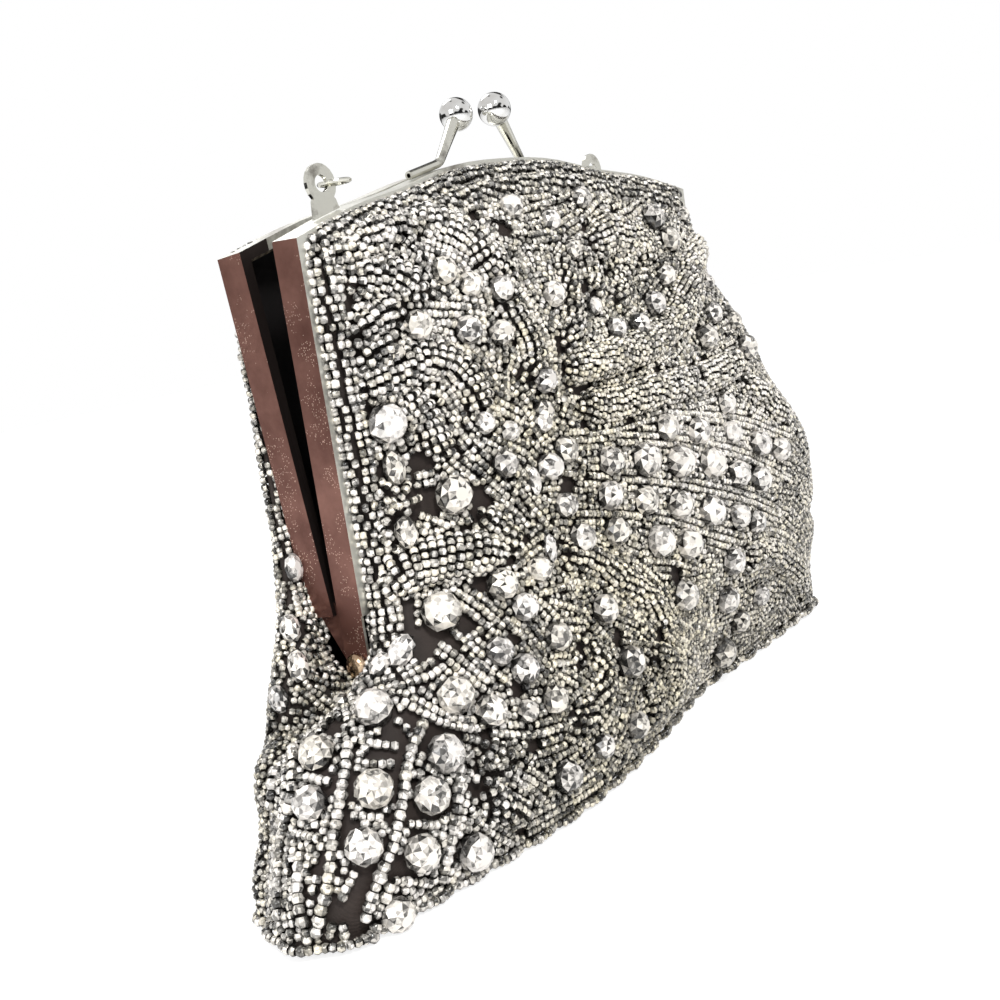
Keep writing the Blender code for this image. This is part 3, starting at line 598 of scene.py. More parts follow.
def crystalTemplate():                 # a round stone cut in flat facets, one across, facing z, with painted light in its facet tones
    # a painted highlight on the table and upper facets, and painted shade darkening the facets towards
    # the girdle into a dark outline
    look = dict(segments=10, table=0.8, tones=(0.62, 0.5, 0.22, 0.0), back=0.0,
                rings=[(0.17, 0.42), (0.34, 0.34), (0.455, 0.18), (0.5, -0.02), (0.38, -0.3)])
    segments = look["segments"]
    points, faces, tones = [], [], []
    for index, (radius, z) in enumerate(look["rings"]):
        for k in range(segments):
            turn = 2 * math.pi * (k + 0.5 * (index % 2)) / segments
            points.append((radius * math.cos(turn), radius * math.sin(turn), z))
    faces.append(tuple(range(segments)))
    tones.append(look["table"])
    for ring, tone in enumerate(look["tones"]):
        low, high = ring * segments, (ring + 1) * segments
        for k in range(segments):
            n = (k + 1) % segments
            if ring % 2 == 0:
                faces += (low + n, low + k, high + k), (low + n, high + k, high + n)
            else:
                faces += (low + n, low + k, high + n), (low + k, high + k, high + n)
            tones += [tone] * 2
    faces.append(tuple(reversed(range(4 * segments, 5 * segments))))
    tones.append(look["back"])
    return points, faces, tones, [False] * len(faces)


def beadCloud(name, template, beads, finish, spread):   # one mesh from many small copies
    points, faces, tones, smooth = template
    shape = np.array(points)
    count, total = len(shape), len(beads)
    places, axes, ups = (np.array([b[key] for b in beads]) for key in ("place", "axis", "up"))
    sizes = np.array([b["size"] for b in beads])[:, None, None]
    stretch = np.array([b["stretch"] for b in beads])[:, None, None]
    ups = ups - axes * (ups * axes).sum(1, keepdims=True)
    ups /= np.linalg.norm(ups, axis=1, keepdims=True)
    cross = np.cross(ups, axes)
    turned = (shape[None, :, 0:1] * axes[:, None] * stretch + shape[None, :, 1:2] * cross[:, None]
              + shape[None, :, 2:3] * ups[:, None])
    placed = places[:, None] + turned * sizes
    placed[..., 1] += meetingLine
    loops = np.concatenate([np.array(f) for f in faces])
    corners = np.array([len(f) for f in faces])
    starts = np.r_[0, np.cumsum(corners)[:-1]]
    steps = np.arange(total)[:, None]
    mesh = bpy.data.meshes.new(name)
    mesh.vertices.add(count * total)
    mesh.vertices.foreach_set("co", (placed * mm).astype(np.float32).ravel())
    mesh.loops.add(len(loops) * total)
    mesh.loops.foreach_set("vertex_index", (loops[None] + steps * count).ravel().astype(np.int32))
    mesh.polygons.add(len(faces) * total)
    starts = (starts[None] + steps * len(loops)).ravel().astype(np.int32)
    mesh.polygons.foreach_set("loop_start", starts)
    mesh.polygons.foreach_set("use_smooth", np.tile(smooth, total))
    mesh.update(calc_edges=True)
    own = np.array([b["tone"] for b in beads])[:, None]
    # painted glints: each facet is made lighter or darker at random, by up to spread
    facet = np.array(tones)[None] + own + rng.uniform(-spread, spread, (total, len(faces)))
    values = np.clip(np.repeat(facet, corners, axis=1), 0, 1).ravel()
    khaki = np.repeat([b["khaki"] for b in beads], len(loops))
    colours = np.stack([values, khaki, values, np.ones_like(values)], axis=1)
    layer = mesh.color_attributes.new("beadTone", "FLOAT_COLOR", "CORNER")
    layer.data.foreach_set("color", colours.astype(np.float32).ravel())
    mesh.materials.append(finish)
    return linkObject(name, mesh)


# Where the beadwork is lighter or darker: x and z in mm, reach, lighter by, khaki by
toneAreas = [
    (-62, 115, 16, 0.06, -0.2), (-45, 135, 14, 0.04, -0.2), (-95, 25, 24, 0.0, -0.3),
    (-118, 50, 12, 0.08, 0.0), (-30, 95, 14, -0.07, 0.4), (0, 90, 12, -0.05, 0.3),
    (-25, 55, 14, -0.07, 0.5), (10, 35, 16, -0.07, 0.4), (55, 22, 18, -0.10, 0.3),
    (95, 30, 16, -0.08, 0.2), (35, 67, 22, 0.16, -0.2), (32, 112, 18, -0.10, 0.2),
    (75, 100, 16, -0.05, 0.0), (-43, 10, 18, -0.14, 0.4), (-5, 15, 16, -0.10, 0.4),
]

# The photo's camera, and the usual place on the bag for a pixel that misses it
photoCamera = dict(place=(-282.474, -220.612, 122.716), heading=50.38, pitch=-8.716, roll=-11.08,
                   lens=49.06, sensor=36.0, pixels=1000, usualSpot=(-100, 0, 30))
focalPixels = photoCamera["lens"] / photoCamera["sensor"] * photoCamera["pixels"]


def cameraAxes():                      # to the right, down and ahead
    heading, pitch, roll = (math.radians(photoCamera[key]) for key in ("heading", "pitch", "roll"))
    ahead = Vector((math.sin(heading) * math.cos(pitch), math.cos(heading) * math.cos(pitch),
                    math.sin(pitch)))
    level = Vector((math.cos(heading), -math.sin(heading), 0))
    rise = level.cross(ahead)
    right = level * math.cos(roll) + rise * math.sin(roll)
    return right, level * math.sin(roll) - rise * math.cos(roll), ahead


class Spots:                           # places already taken, kept in cells
    def __init__(self, cell):
        self.cell, self.cells = cell, {}

    def add(self, point, radius):
        key = tuple(int(math.floor(c / self.cell)) for c in point)
        self.cells.setdefault(key, []).append((point.x, point.y, point.z, radius))

    def free(self, point, radius):
        x, y, z = point
        cx, cy, cz = (int(math.floor(c / self.cell)) for c in point)
        for i in (cx - 1, cx, cx + 1):
            for j in (cy - 1, cy, cy + 1):
                for k in (cz - 1, cz, cz + 1):
                    for a, b, c, size in self.cells.get((i, j, k), ()):
                        if (a - x) ** 2 + (b - y) ** 2 + (c - z) ** 2 < (radius + size) ** 2:
                            return False
        return True


class Face:                            # one side of the bag as a surface that beads sit on
    def __init__(self, grid, normals, side):
        self.grid, self.normals, self.side = grid, normals, side
        self.rows, self.columns = grid.shape[0] - 1, grid.shape[1] - 1
        width = self.columns + 1
        quads = [(i * width + j, i * width + j + 1, (i + 1) * width + j + 1, (i + 1) * width + j)
                 for i in range(self.rows) for j in range(self.columns)]
        self.tree = BVHTree.FromPolygons(grid.reshape(-1, 3).tolist(), quads)
        self.seedSpots, self.stoneSpots = Spots(seedLook["cell"]), Spots(stoneLook["cell"])
        self.beads = {"rope": [], "string": [], "ground": [], "stone": []}

    def at(self, u, v):                # u across from the left, v up from the base, 0 to 1
        y, x = clamp(v) * self.rows, clamp(u) * self.columns
        i, j = min(int(y), self.rows - 1), min(int(x), self.columns - 1)
        a, b = y - i, x - j
        corner = [self.grid[i + p, j + q] * (a if p else 1 - a) * (b if q else 1 - b)
                  for p in (0, 1) for q in (0, 1)]
        return Vector(sum(corner))

    def shares(self, point):           # the u and v of a point on the cloth
        place, _, index, _ = self.tree.find_nearest(point)
        i, j = divmod(index, self.columns)
        corner, right, up = (Vector(self.grid[i + p, j + q]) for p, q in ((0, 0), (0, 1), (1, 0)))
        b = (place - corner).dot(right - corner) / max((right - corner).length_squared, 1e-9)
        a = (place - corner).dot(up - corner) / max((up - corner).length_squared, 1e-9)
        return (j + b) / self.columns, (i + a) / self.rows

    def near(self, point):             # the closest place on the cloth, with its outward normal
        place, _, index, _ = self.tree.find_nearest(point)
        i, j = divmod(index, self.columns)
        return place, Vector(self.normals[i, j])

    def seedSize(self, point):
        s = seedLook
        share = clamp((point.x * -self.side - s["wideTo"]) / s["narrowOver"])
        return s["wide"] + (s["narrow"] - s["wide"]) * share

    def clearOfHinge(self, point):
        f = frameMetal
        pin = Vector((math.copysign(f["hingeX"], point.x), f["hingeY"], f["hingeZ"]))
        return (point - pin).length > seedLook["hingeClear"]

    def shade(self, point):            # how light and how khaki the beads are there
        light, khaki = 0.0, seedLook["khaki"]
        for x, z, reach, more, warmer in toneAreas:
            near = math.exp(-((point.x * -self.side - x) ** 2 + (point.z - z) ** 2) / (2 * reach**2))
            light, khaki = light + more * near, khaki + warmer * near
        return light, khaki

    def addSeed(self, kind, point, axis, up, size, tone=0.0):
        s = seedLook
        if not self.clearOfHinge(point):
            return
        roll = Quaternion(axis, rng.normal(0, s["roll"]))
        light, khaki = self.shade(point)
        self.beads[kind].append(dict(
            place=tuple(point + up * size * s["rise"]), axis=tuple(axis), up=tuple(roll @ up),
            size=size * (1 + rng.normal(0, s["spread"])), stretch=1.0,
            tone=tone + light + rng.normal(0, s["tone"]),
            khaki=clamp(khaki + rng.normal(0, s["khakiSpread"]))))

    def addStone(self, point, size, along=None, stretch=1.0):
        s = stoneLook
        place, up = self.near(point)
        size *= s["swell"]
        if along is None:
            side = up.orthogonal().normalized()
            spin = rng.uniform(0, math.pi)
            along = side * math.cos(spin) + up.cross(side) * math.sin(spin)
        tilt = up + Vector(rng.normal(0, s["tilt"], 3))
        self.beads["stone"].append(dict(
            place=tuple(place + up * size * s["rise"]), axis=tuple(along),
            up=tuple(tilt.normalized()), size=size, stretch=stretch,
            tone=rng.uniform(*s["tones"]) + self.shade(point)[0], khaki=rng.uniform(0, s["khaki"])))
        for hand in (-1, 1):
            spot = place + along * hand * size * (stretch - 1) * s["ends"]
            self.stoneSpots.add(spot, size * s["crowd"])


frontFace = Face(frontGrid, frontNormals, frontSide)
backFace = Face(backGrid, backNormals, backSide)


def alongPixel(pixel):
    right, down, ahead = cameraAxes()
    x, y = ((value - photoCamera["pixels"] / 2) / focalPixels for value in pixel)
    return (ahead + right * x + down * y).normalized()


def onFlank(face, pixel):
    return face.tree.ray_cast(Vector(photoCamera["place"]), alongPixel(pixel))[0]


def fromPhoto(face, pixel):            # the front's design is repeated on the back, left to right
    hit = onFlank(frontFace, pixel)
    if hit is None or face is frontFace:
        return hit
    u, v = frontFace.shares(hit)
    return backFace.at(1 - u, v)


def scaleAt(pixel):                    # mm to a pixel of the photo, on the cloth behind that pixel
    c = photoCamera
    spot = onFlank(frontFace, pixel) or onFlank(backFace, pixel) or Vector(c["usualSpot"])
    return (spot - Vector(c["place"])).dot(cameraAxes()[2]) / focalPixels


def trace(face, pixels, fineness=12):  # a smooth line on the cloth through pixels of the photo
    spans = len(pixels) - 1
    fine = catmullRom(np.array(pixels, float), np.linspace(0, spans, fineness * spans))
    hits = [fromPhoto(face, pixel) for pixel in fine]
    return [h for h in hits if h is not None]


def evenSteps(line, pitch):            # points along a line at an even distance, with headings
    steps, carry = [], 0.0
    for a, b in zip(line, line[1:]):
        length = (b - a).length
        if length < 1e-9:
            continue
        run = carry
        while run <= length:
            steps.append((a.lerp(b, run / length), (b - a) / length))
            run += pitch
        carry = run - length
    return steps


def threadSeed(face, kind, point, heading, size, lift=0.0, tone=0.0):   # only where there is room
    place, up = face.near(point)
    room = size * seedLook["crowd"]
    if not (face.stoneSpots.free(place, room) and face.seedSpots.free(place, room)):
        return
    axis = (heading - up * heading.dot(up)).normalized()
    face.seedSpots.add(place, room)
    face.addSeed(kind, place + up * lift, axis, up, size, tone)


def string(face, line, size=None, lift=0.0, kind="string", tone=0.04):
    if len(line) < 2:
        return
    wide = size or face.seedSize(line[0])
    for point, heading in evenSteps(line, wide * seedLook["pitch"]):
        threadSeed(face, kind, point, heading, wide, lift, tone)


ropeLook = dict(pitch=0.94, fullness=2.7, wrap=0.86, slip=0.35, uneven=0.12, end=0.5, lean=0.5,
                toneSpread=0.05)


def rope(face, line, width, height, slant=0.5, lighter=0.08):   # a padded roll wound with bead strings; lighter is added to its beads' tone, by default painted light on the raised roll
    if len(line) < 2:
        return
    s, look = seedLook, ropeLook
    wide = face.seedSize(line[0])
    steps = evenSteps([face.near(p)[0] for p in line], wide * s["rowGap"] * look["pitch"])
    last = max(len(steps) - 1, 1)
    for index, (point, heading) in enumerate(steps):
        place, up = face.near(point)
        across = up.cross(heading).normalized()
        taper = min(1.0, look["end"] + min(index, last - index) * wide / width)
        half = width / 2 * taper
        count = max(int(round(look["fullness"] * half / (wide * s["pitch"]))), 2)
        tone = rng.normal(lighter, look["toneSpread"])
        slip = rng.uniform(-look["slip"], look["slip"])
        for k in range(count):
            share = (k + 0.5 + slip + rng.uniform(-look["uneven"], look["uneven"])) / count * 2 - 1
            turn = share * math.pi / 2 * look["wrap"]
            aside = across * math.sin(turn) * half + heading * share * slant * wide
            base, facing = face.near(place + aside)
            if not face.stoneSpots.free(base, wide * s["crowd"]):
                continue
            tilt = (across * math.cos(turn) - facing * math.sin(turn) * min(height / half, 1)
                    + heading * slant * look["lean"]).normalized()
            out = (facing * math.cos(turn) + across * math.sin(turn)).normalized()
            face.seedSpots.add(base, wide * s["crowd"])
            raised = base + facing * math.cos(turn) * height * taper
            face.addSeed("rope", raised, tilt, out, wide, tone)


besideLook = dict(step=1.0, bare=0.6, rowStep=1.6, rows=2, toneSpread=0.05)


def besideLine(face, line, step, away):   # places on the cloth that far to one side of a line
    places = []
    for point, heading in evenSteps(line, step):
        place, up = face.near(point)
        places.append(face.near(place + up.cross(heading).normalized() * away)[0])
    return places


def markEdges(face, line, away):       # a bare line along both sides of a roll
    for hand in (-1, 1):
        for place in besideLine(face, line, besideLook["step"], hand * away):
            face.seedSpots.add(place, besideLook["bare"])


def echoRows(face, line, first):       # strings beside a line, on both its sides
    if len(line) < 2:
        return
    wide = face.seedSize(line[0])
    for row in range(besideLook["rows"]):
        away = first + wide * (0.5 + row) * seedLook["rowGap"]
        for hand in (-1, 1):
            beside = besideLine(face, line, besideLook["rowStep"], hand * away)
            string(face, beside, wide, kind="ground", tone=rng.normal(0, besideLook["toneSpread"]))


# Stones of the photo: pixel across and down, pixels wide
fanStones = [
    (660, 428, 23), (691, 432, 23), (725, 434, 20), (753, 445, 22), (774, 450, 20),
    (604, 462, 25), (638, 460, 28), (672, 462, 28), (704, 464, 26), (731, 475, 23), (753, 480, 22),
    (603, 496, 25), (638, 501, 25), (672, 505, 25), (704, 511, 26), (732, 516, 22), (749, 522, 20),
    (576, 539, 25), (609, 532, 25), (652, 542, 28), (681, 544, 26), (726, 560, 23),
    (677, 595, 26), (720, 597, 23), (753, 593, 19), (733, 618, 20), (714, 649, 26), (597, 610, 26),
    (623, 662, 27), (629, 723, 24),
]
upperStones = [
    (439, 273, 26), (466, 286, 24), (496, 291, 25), (506, 211, 24), (547, 296, 25), (413, 326, 28),
    (464, 331, 27), (496, 334, 25), (539, 381, 25), (393, 352, 18), (381, 424, 38), (481, 424, 21),
    (539, 412, 21), (506, 432, 20), (576, 202, 22), (647, 222, 24), (663, 243, 23), (677, 217, 16),
    (568, 252, 19), (660, 278, 21), (648, 306, 24), (611, 330, 21), (633, 327, 23), (589, 308, 18),
    (700, 339, 24), (740, 349, 23), (707, 315, 20), (728, 323, 18), (704, 284, 14), (719, 404, 22),
    (546, 223, 20), (689, 374, 14),
]
lowerStones = [
    (439, 614, 37), (328, 688, 27), (378, 715, 37), (451, 698, 36), (440, 756, 37), (321, 759, 34),
    (374, 792, 37), (426, 797, 36), (316, 804, 34), (364, 847, 36), (415, 850, 36), (468, 848, 36),
    (391, 910, 34), (486, 712, 31), (449, 496, 36), (497, 586, 31), (520, 609, 27), (535, 571, 25),
    (500, 465, 26), (538, 423, 20), (551, 637, 28), (495, 652, 28), (519, 670, 29), (545, 468, 26),
    (560, 451, 26), (561, 506, 24), (548, 700, 28), (560, 775, 30), (597, 745, 24), (523, 712, 22),
]
longStones = [                         # pointed ovals: pixel, pixels wide, length to width, degrees
    (404, 653, 24, 1.4, -62), (384, 667, 19, 1.35, -50), (344, 707, 20, 1.6, -25),
    (531, 482, 14, 2.0, 80), (547, 549, 14, 2.0, 80), (391, 468, 22, 1.5, 75), (404, 532, 22, 1.5, 75),
]
flankStones = [(291, 631, 19, 1.6, 75), (296, 669, 20, 1.6, 80), (280, 699, 18, 1.5, 75),
               (291, 568, 18, 1.5, 80)]   # on the back cloth, beside the hinge


tipPixels = 6                          # how far a long stone's heading is looked for


def setLong(face, pixel, wide, stretch, degrees, find):
    angle = math.radians(degrees)
    ahead = (pixel[0] + math.cos(angle) * tipPixels, pixel[1] + math.sin(angle) * tipPixels)
    spot, tip = find(face, pixel), find(face, ahead)
    if spot is not None and tip is not None:
        face.addStone(spot, wide * scaleAt(pixel), (tip - spot).normalized(), stretch)


def setStones(face):
    for x, y, wide in fanStones + upperStones + lowerStones:
        spot = fromPhoto(face, (x, y))
        if spot is not None:
            swell = stoneLook["fanSwell"] if (x, y, wide) in fanStones else 1.0
            face.addStone(spot, wide * scaleAt((x, y)) * swell)
    for x, y, wide, stretch, degrees in longStones:
        setLong(face, (x, y), wide, stretch, degrees, fromPhoto)


# Padded rolls: pixels wide, mm high, then the pixels along the middle
rolls = [
    (30, 2.4, [(343, 261), (362, 243), (387, 231)]),
    (34, 2.6, [(409, 220), (440, 228), (466, 240), (484, 258), (500, 270)]),
    (30, 2.6, [(347, 282), (380, 277), (405, 285), (415, 303)]),
    (24, 2.4, [(352, 338), (372, 322), (392, 307)]),
    (24, 2.4, [(356, 366), (376, 352), (398, 345)]),
    (30, 2.6, [(358, 392), (392, 374), (428, 361), (458, 374), (478, 405)]),
    (30, 2.6, [(398, 392), (416, 415), (430, 440), (446, 462)]),
    (26, 2.4, [(388, 400), (398, 425), (392, 446)]),
    (26, 2.4, [(380, 490), (402, 503), (395, 522), (388, 545)]),
    (36, 3.0, [(388, 590), (405, 570), (440, 558), (480, 553), (500, 560)]),
    (24, 2.2, [(474, 514), (497, 532), (515, 550)]),
    (22, 2.2, [(500, 300), (520, 330), (530, 356), (524, 385)]),
    (22, 2.2, [(560, 262), (566, 296), (570, 330), (560, 356)]),
    (30, 2.6, [(588, 246), (612, 234), (637, 245), (648, 264)]),
    (20, 2.2, [(582, 262), (590, 284), (586, 300)]),
    (18, 1.8, [(606, 268), (618, 288), (612, 308)]),
    (28, 3.0, [(694, 244), (688, 270), (681, 298), (668, 324), (645, 344), (615, 356), (585, 364),
               (558, 370)]),
    (26, 2.8, [(735, 360), (712, 374), (680, 384), (646, 394), (610, 404), (575, 409)]),
    (20, 2.2, [(739, 381), (762, 398), (784, 418)]),
    (18, 2.0, [(700, 208), (704, 240), (716, 285), (730, 305)]),
    (22, 2.2, [(478, 748), (500, 762), (482, 780), (496, 802), (524, 818)]),
    (20, 2.0, [(560, 556), (590, 560), (622, 580), (650, 604), (664, 632)]),
    (20, 2.0, [(580, 640), (600, 668), (596, 700), (570, 728)]),
    (20, 2.0, [(650, 650), (672, 672), (664, 700), (640, 716)]),
    (22, 2.2, [(740, 560), (765, 552), (790, 566), (800, 590)]),
]

# Strings of single beads, as pixels along them
lattice = [
    [(298, 750), (297, 793), (292, 819), (288, 845), (285, 885), (286, 914)],
    [(350, 750), (344, 791), (337, 838), (330, 885), (318, 932)],
    [(420, 727), (406, 760), (401, 791), (392, 838), (375, 880), (361, 920)],
    [(457, 771), (451, 814), (443, 850), (436, 880)],
    [(306, 858), (303, 893), (308, 930)], [(281, 775), (276, 820), (271, 865), (272, 905)],
    [(385, 885), (368, 935)],
]
strings = lattice + [
    [(405, 705), (438, 723), (467, 729), (498, 735), (530, 735), (560, 726)],
    [(407, 697), (440, 715), (470, 722), (500, 728)],
    [(441, 647), (462, 664), (487, 684)], [(437, 655), (458, 672), (480, 690)],
    [(451, 590), (475, 606), (499, 627)], [(447, 598), (470, 615), (492, 634)],
    [(411, 686), (432, 676), (452, 660)], [(462, 643), (483, 628)],
    [(416, 476), (439, 471)], [(414, 513), (445, 526)], [(458, 522), (476, 534)],
    [(439, 540), (464, 555)],
    [(664, 413), (710, 416), (744, 421), (788, 438)], [(662, 418), (708, 421), (742, 426), (784, 442)],
    [(614, 443), (648, 444), (681, 447), (733, 457), (775, 474)],
    [(618, 480), (654, 482), (696, 490), (739, 500), (770, 512)],
    [(586, 476), (621, 479), (654, 481), (696, 488), (739, 497)],
    [(573, 514), (621, 515), (662, 521), (696, 531), (732, 541), (764, 548)],
    [(623, 519), (681, 526), (712, 535), (743, 543)], [(640, 561), (665, 562), (690, 568)],
    [(693, 578), (694, 612), (691, 649)], [(703, 580), (704, 612), (700, 645)],
    [(577, 222), (591, 207), (603, 197), (619, 197)], [(601, 222), (625, 212), (636, 203), (656, 202)],
    [(511, 195), (545, 191)], [(518, 213), (541, 206)], [(460, 211), (482, 209)],
    [(352, 275), (358, 268)], [(360, 315), (366, 306)], [(677, 202), (696, 222), (701, 255)],
    [(676, 342), (692, 360), (706, 364)], [(716, 352), (740, 372), (764, 392)],
]

# Short bars of a few beads, from a pixel to a pixel
bars = [
    ((357, 744), (400, 749)), ((367, 766), (392, 766)), ((356, 817), (385, 819)),
    ((408, 824), (434, 824)), ((393, 879), (428, 881)), ((305, 835), (326, 840)),
    ((315, 850), (309, 878)), ((354, 874), (341, 900)), ((298, 890), (316, 890)),
    ((343, 925), (345, 945)), ((410, 775), (430, 777)), ((310, 779), (330, 783)),
    ((621, 450), (621, 473)), ((655, 450), (655, 473)), ((688, 452), (688, 475)),
    ((717, 456), (717, 479)), ((741, 462), (741, 484)), ((586, 484), (587, 506)),
    ((620, 485), (621, 508)), ((656, 486), (656, 510)), ((688, 492), (688, 516)),
    ((716, 496), (717, 520)), ((742, 504), (741, 526)), ((630, 528), (631, 550)),
    ((666, 532), (667, 554)), ((699, 536), (700, 560)), ((480, 268), (482, 290)),
    ((480, 322), (480, 345)),
]
gaps = [                               # bare satin: pixel, mm across
    (325, 785, 5), (350, 790, 5), (400, 772, 6), (405, 815, 5), (440, 800, 6), (365, 880, 6),
    (400, 868, 6), (330, 865, 4), (345, 908, 5), (392, 745, 6), (425, 735, 6), (335, 730, 4),
    (455, 850, 4), (380, 760, 6), (350, 830, 5), (430, 850, 4),
    (420, 640, 9), (445, 650, 8), (462, 612, 8), (425, 500, 8), (475, 500, 6), (420, 465, 6),
    (564, 486, 3.6), (673, 573, 5), (614, 640, 3.2), (470, 220, 3), (501, 232, 4), (500, 195, 2.6),
    (622, 223, 3.2), (655, 372, 3.4), (745, 378, 3), (418, 497, 4), (462, 620, 5), (405, 615, 3.5),
    (425, 560, 2), (478, 583, 4), (403, 640, 3), (425, 650, 4), (420, 735, 3.4), (408, 720, 3),
    (450, 735, 3), (470, 790, 2.4), (336, 735, 3), (392, 735, 3), (343, 815, 2.6), (395, 820, 2.4),
    (350, 900, 4.5), (330, 900, 3.4), (300, 870, 2.6), (360, 925, 3.4), (395, 440, 3), (372, 475, 3),
    (700, 362, 3), (612, 216, 3), (745, 415, 2), (470, 250, 2), (332, 262, 2.6), (344, 300, 2.6),
    (510, 640, 2.6), (575, 665, 2.6), (640, 690, 2.6), (530, 745, 3), (515, 690, 3), (600, 592, 2),
]


def setOrnament(face):                 # returns the lines, with the distance that rows keep from them
    look = dict(rollEdge=0.5, rollClear=0.7, latticeSwell=1.3, stringLift=0.3, barLift=0.2)
    lines = []
    for width, height, pixels in rolls:
        line = trace(face, pixels)
        across = width * scaleAt(pixels[len(pixels) // 2])
        rope(face, line, across, height)
        markEdges(face, line, across / 2 + look["rollEdge"])
        lines.append((line, across / 2 + look["rollClear"]))
    for pixels in strings:
        line = trace(face, pixels)
        if len(line) < 2:
            continue
        size = face.seedSize(line[0]) * (look["latticeSwell"] if pixels in lattice else 1.0)
        string(face, line, size, lift=look["stringLift"])
        lines.append((line, size * 0.5))
    for start, end in bars:
        string(face, trace(face, [start, end]), lift=look["barLift"])
    for x, y, wide in gaps:
        spot = fromPhoto(face, (x, y))
        if spot is not None:
            face.seedSpots.add(spot, wide * 0.5)
    return lines


# Borders, as shares across and up the cloth: the rail's ropes as height, start and end, what runs
# down each side as distance from the edge, start and length. Ropes are mm wide, high, slant, lighter
borderLook = dict(steps=160, rails=((0.981, 0.012, 0.988), (0.951, 0.03, 0.97)),
                  railRope=(4.0, 1.2, 0.9, -0.10), sideAt=(0.0185, 0.40, 0.565),
                  sideRope=(4.6, 0.5, 0.0, 0.0), stringAt=(0.042, 0.42, 0.50), stringLift=0.2,
                  hemSteps=480, hemAt=(0.002, 0.996, 0.006), hemBare=0.8, scallops=26,
                  scallopHeight=1.3)


def setBorders(face):
    look = borderLook
    across = [k / look["steps"] for k in range(look["steps"] + 1)]
    for v, low, high in look["rails"]:
        rope(face, [face.at(low + (high - low) * k, v) for k in across], *look["railRope"])
    for hand in (0, 1):
        away, start, length = look["sideAt"]
        rope(face, [face.at(abs(hand - away), start + length * k) for k in across], *look["sideRope"])
        away, start, length = look["stringAt"]
        string(face, [face.at(abs(hand - away), start + length * k) for k in across],
               lift=look["stringLift"])
    hem, last = [], look["hemSteps"]
    start, length, v = look["hemAt"]
    for k in range(last + 1):          # the bottom edge hangs in small scallops
        place, up = face.near(face.at(start + length * k / last, v))
        swell = abs(math.sin(k / last * math.pi * look["scallops"]))
        hem.append(place + up * look["scallopHeight"] * swell)
    for point, heading in evenSteps(hem, seedLook["wide"] * seedLook["pitch"]):
        place, up = face.near(point)
        face.addSeed("string", point, heading, up, seedLook["wide"])
        face.seedSpots.add(place, look["hemBare"])


def followed(tree, axes, point, up, turn):   # heading of the beads close by
    found = tree.find_n(point, 3)
    lead = axes[found[0][1]]
    total = Vector(lead)
    for _, index, _ in found[1:]:
        total += axes[index] * (1 if axes[index].dot(lead) > 0 else -1)
    flat = total - up * total.dot(up)
    if flat.length < 1e-4:
        flat = up.orthogonal()
    return Quaternion(up, turn) @ flat.normalized()


# Ground beads: rows side by side, how many beads each way along them, their size, rounds
groundPasses = [((0, 1, -1), 4, 1.0, 10), ((0,), 2, 0.95, 4), ((0,), 0, 0.8, 2)]
# the ground beads between the rolls are made darker as painted shade, beside the lighter rolls
groundLook = dict(turn=0.12, paintedShade=-0.045, toneSpread=0.06)


def fillGround(face):                  # rows that follow the ornament, then smaller beads between
    s, look = seedLook, groundLook
    cells = [(i, j) for i in range(1, face.rows) for j in range(0, face.columns + 1)]
    for rows, reach, size, rounds in groundPasses:
        order = rng.permutation(len(cells))
        for part in np.array_split(order, rounds):
            placed = [b for kind in ("rope", "string", "ground") for b in face.beads[kind]]
            axes = [Vector(b["axis"]) for b in placed]
            tree = KDTree(len(placed))
            for index, bead in enumerate(placed):
                tree.insert(bead["place"], index)
            tree.balance()
            for index in part:
                i, j = cells[index]
                point = face.at((j + rng.uniform(-0.5, 0.5)) / face.columns,
                                (i + rng.uniform(-0.5, 0.5)) / face.rows)
                wide = face.seedSize(point) * size
                if not face.seedSpots.free(point, wide * s["crowd"]):
                    continue
                place, up = face.near(point)
                heading = followed(tree, axes, place, up, rng.normal(0, look["turn"]))
                across = up.cross(heading)
                tone = rng.normal(look["paintedShade"], look["toneSpread"])
                for row in rows:
                    for k in range(-reach, reach + 1):
                        spot = (place + across * row * wide * s["rowGap"]
                                + heading * (k + 0.5 * (row % 2)) * wide * s["pitch"])
                        threadSeed(face, "ground", spot, heading, wide, tone=tone)
        print("ground beads so far:", len(face.beads["ground"]))


for x, y, wide, stretch, degrees in flankStones:
    setLong(backFace, (x, y), wide, stretch, degrees, onFlank)
for face in (frontFace, backFace):
    setStones(face)
    ornamentLines = setOrnament(face)
    setBorders(face)
    for line, half in ornamentLines:
        echoRows(face, line, half)
    fillGround(face)
print("beads laid out")


def addBall(word, jaw):                # a finer ball than the solid's, over the same sphere
    look = dict(segments=64, rings=40)
    name = f"{word}_clasp_ball"
    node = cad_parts[name]
    corners = [node.matrix_world @ Vector(corner) for corner in node.bound_box]
    low, high = (Vector([pick(c[axis] for c in corners) for axis in range(3)]) for pick in (min, max))
    mesh = bpy.data.meshes.new(f"{word}_polished_ball")
    ball = bmesh.new()
    bmesh.ops.create_uvsphere(ball, u_segments=look["segments"], v_segments=look["rings"],
                              radius=(high.x - low.x) / 2)
    ball.to_mesh(mesh)
    ball.free()
    mesh.shade_smooth()
    mesh.materials.append(chrome)
    made = linkObject(f"{word}_polished_ball", mesh)
    made.location = (low + high) / 2
    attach(made, jaw)
    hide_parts(name)


addBall("front", "front_jaw")
addBall("back", "back_jaw")
print("balls polished")


def batchName(kind, bead):             # stones together, seed beads by kind and place
    if kind == "stone":
        return "stones"
    x, _, z = bead["place"]
    height = "upper" if z > bendZone["high"] else "lower"
    return f"{kind}_beads_{height}_{'left' if x < 0 else 'right'}"


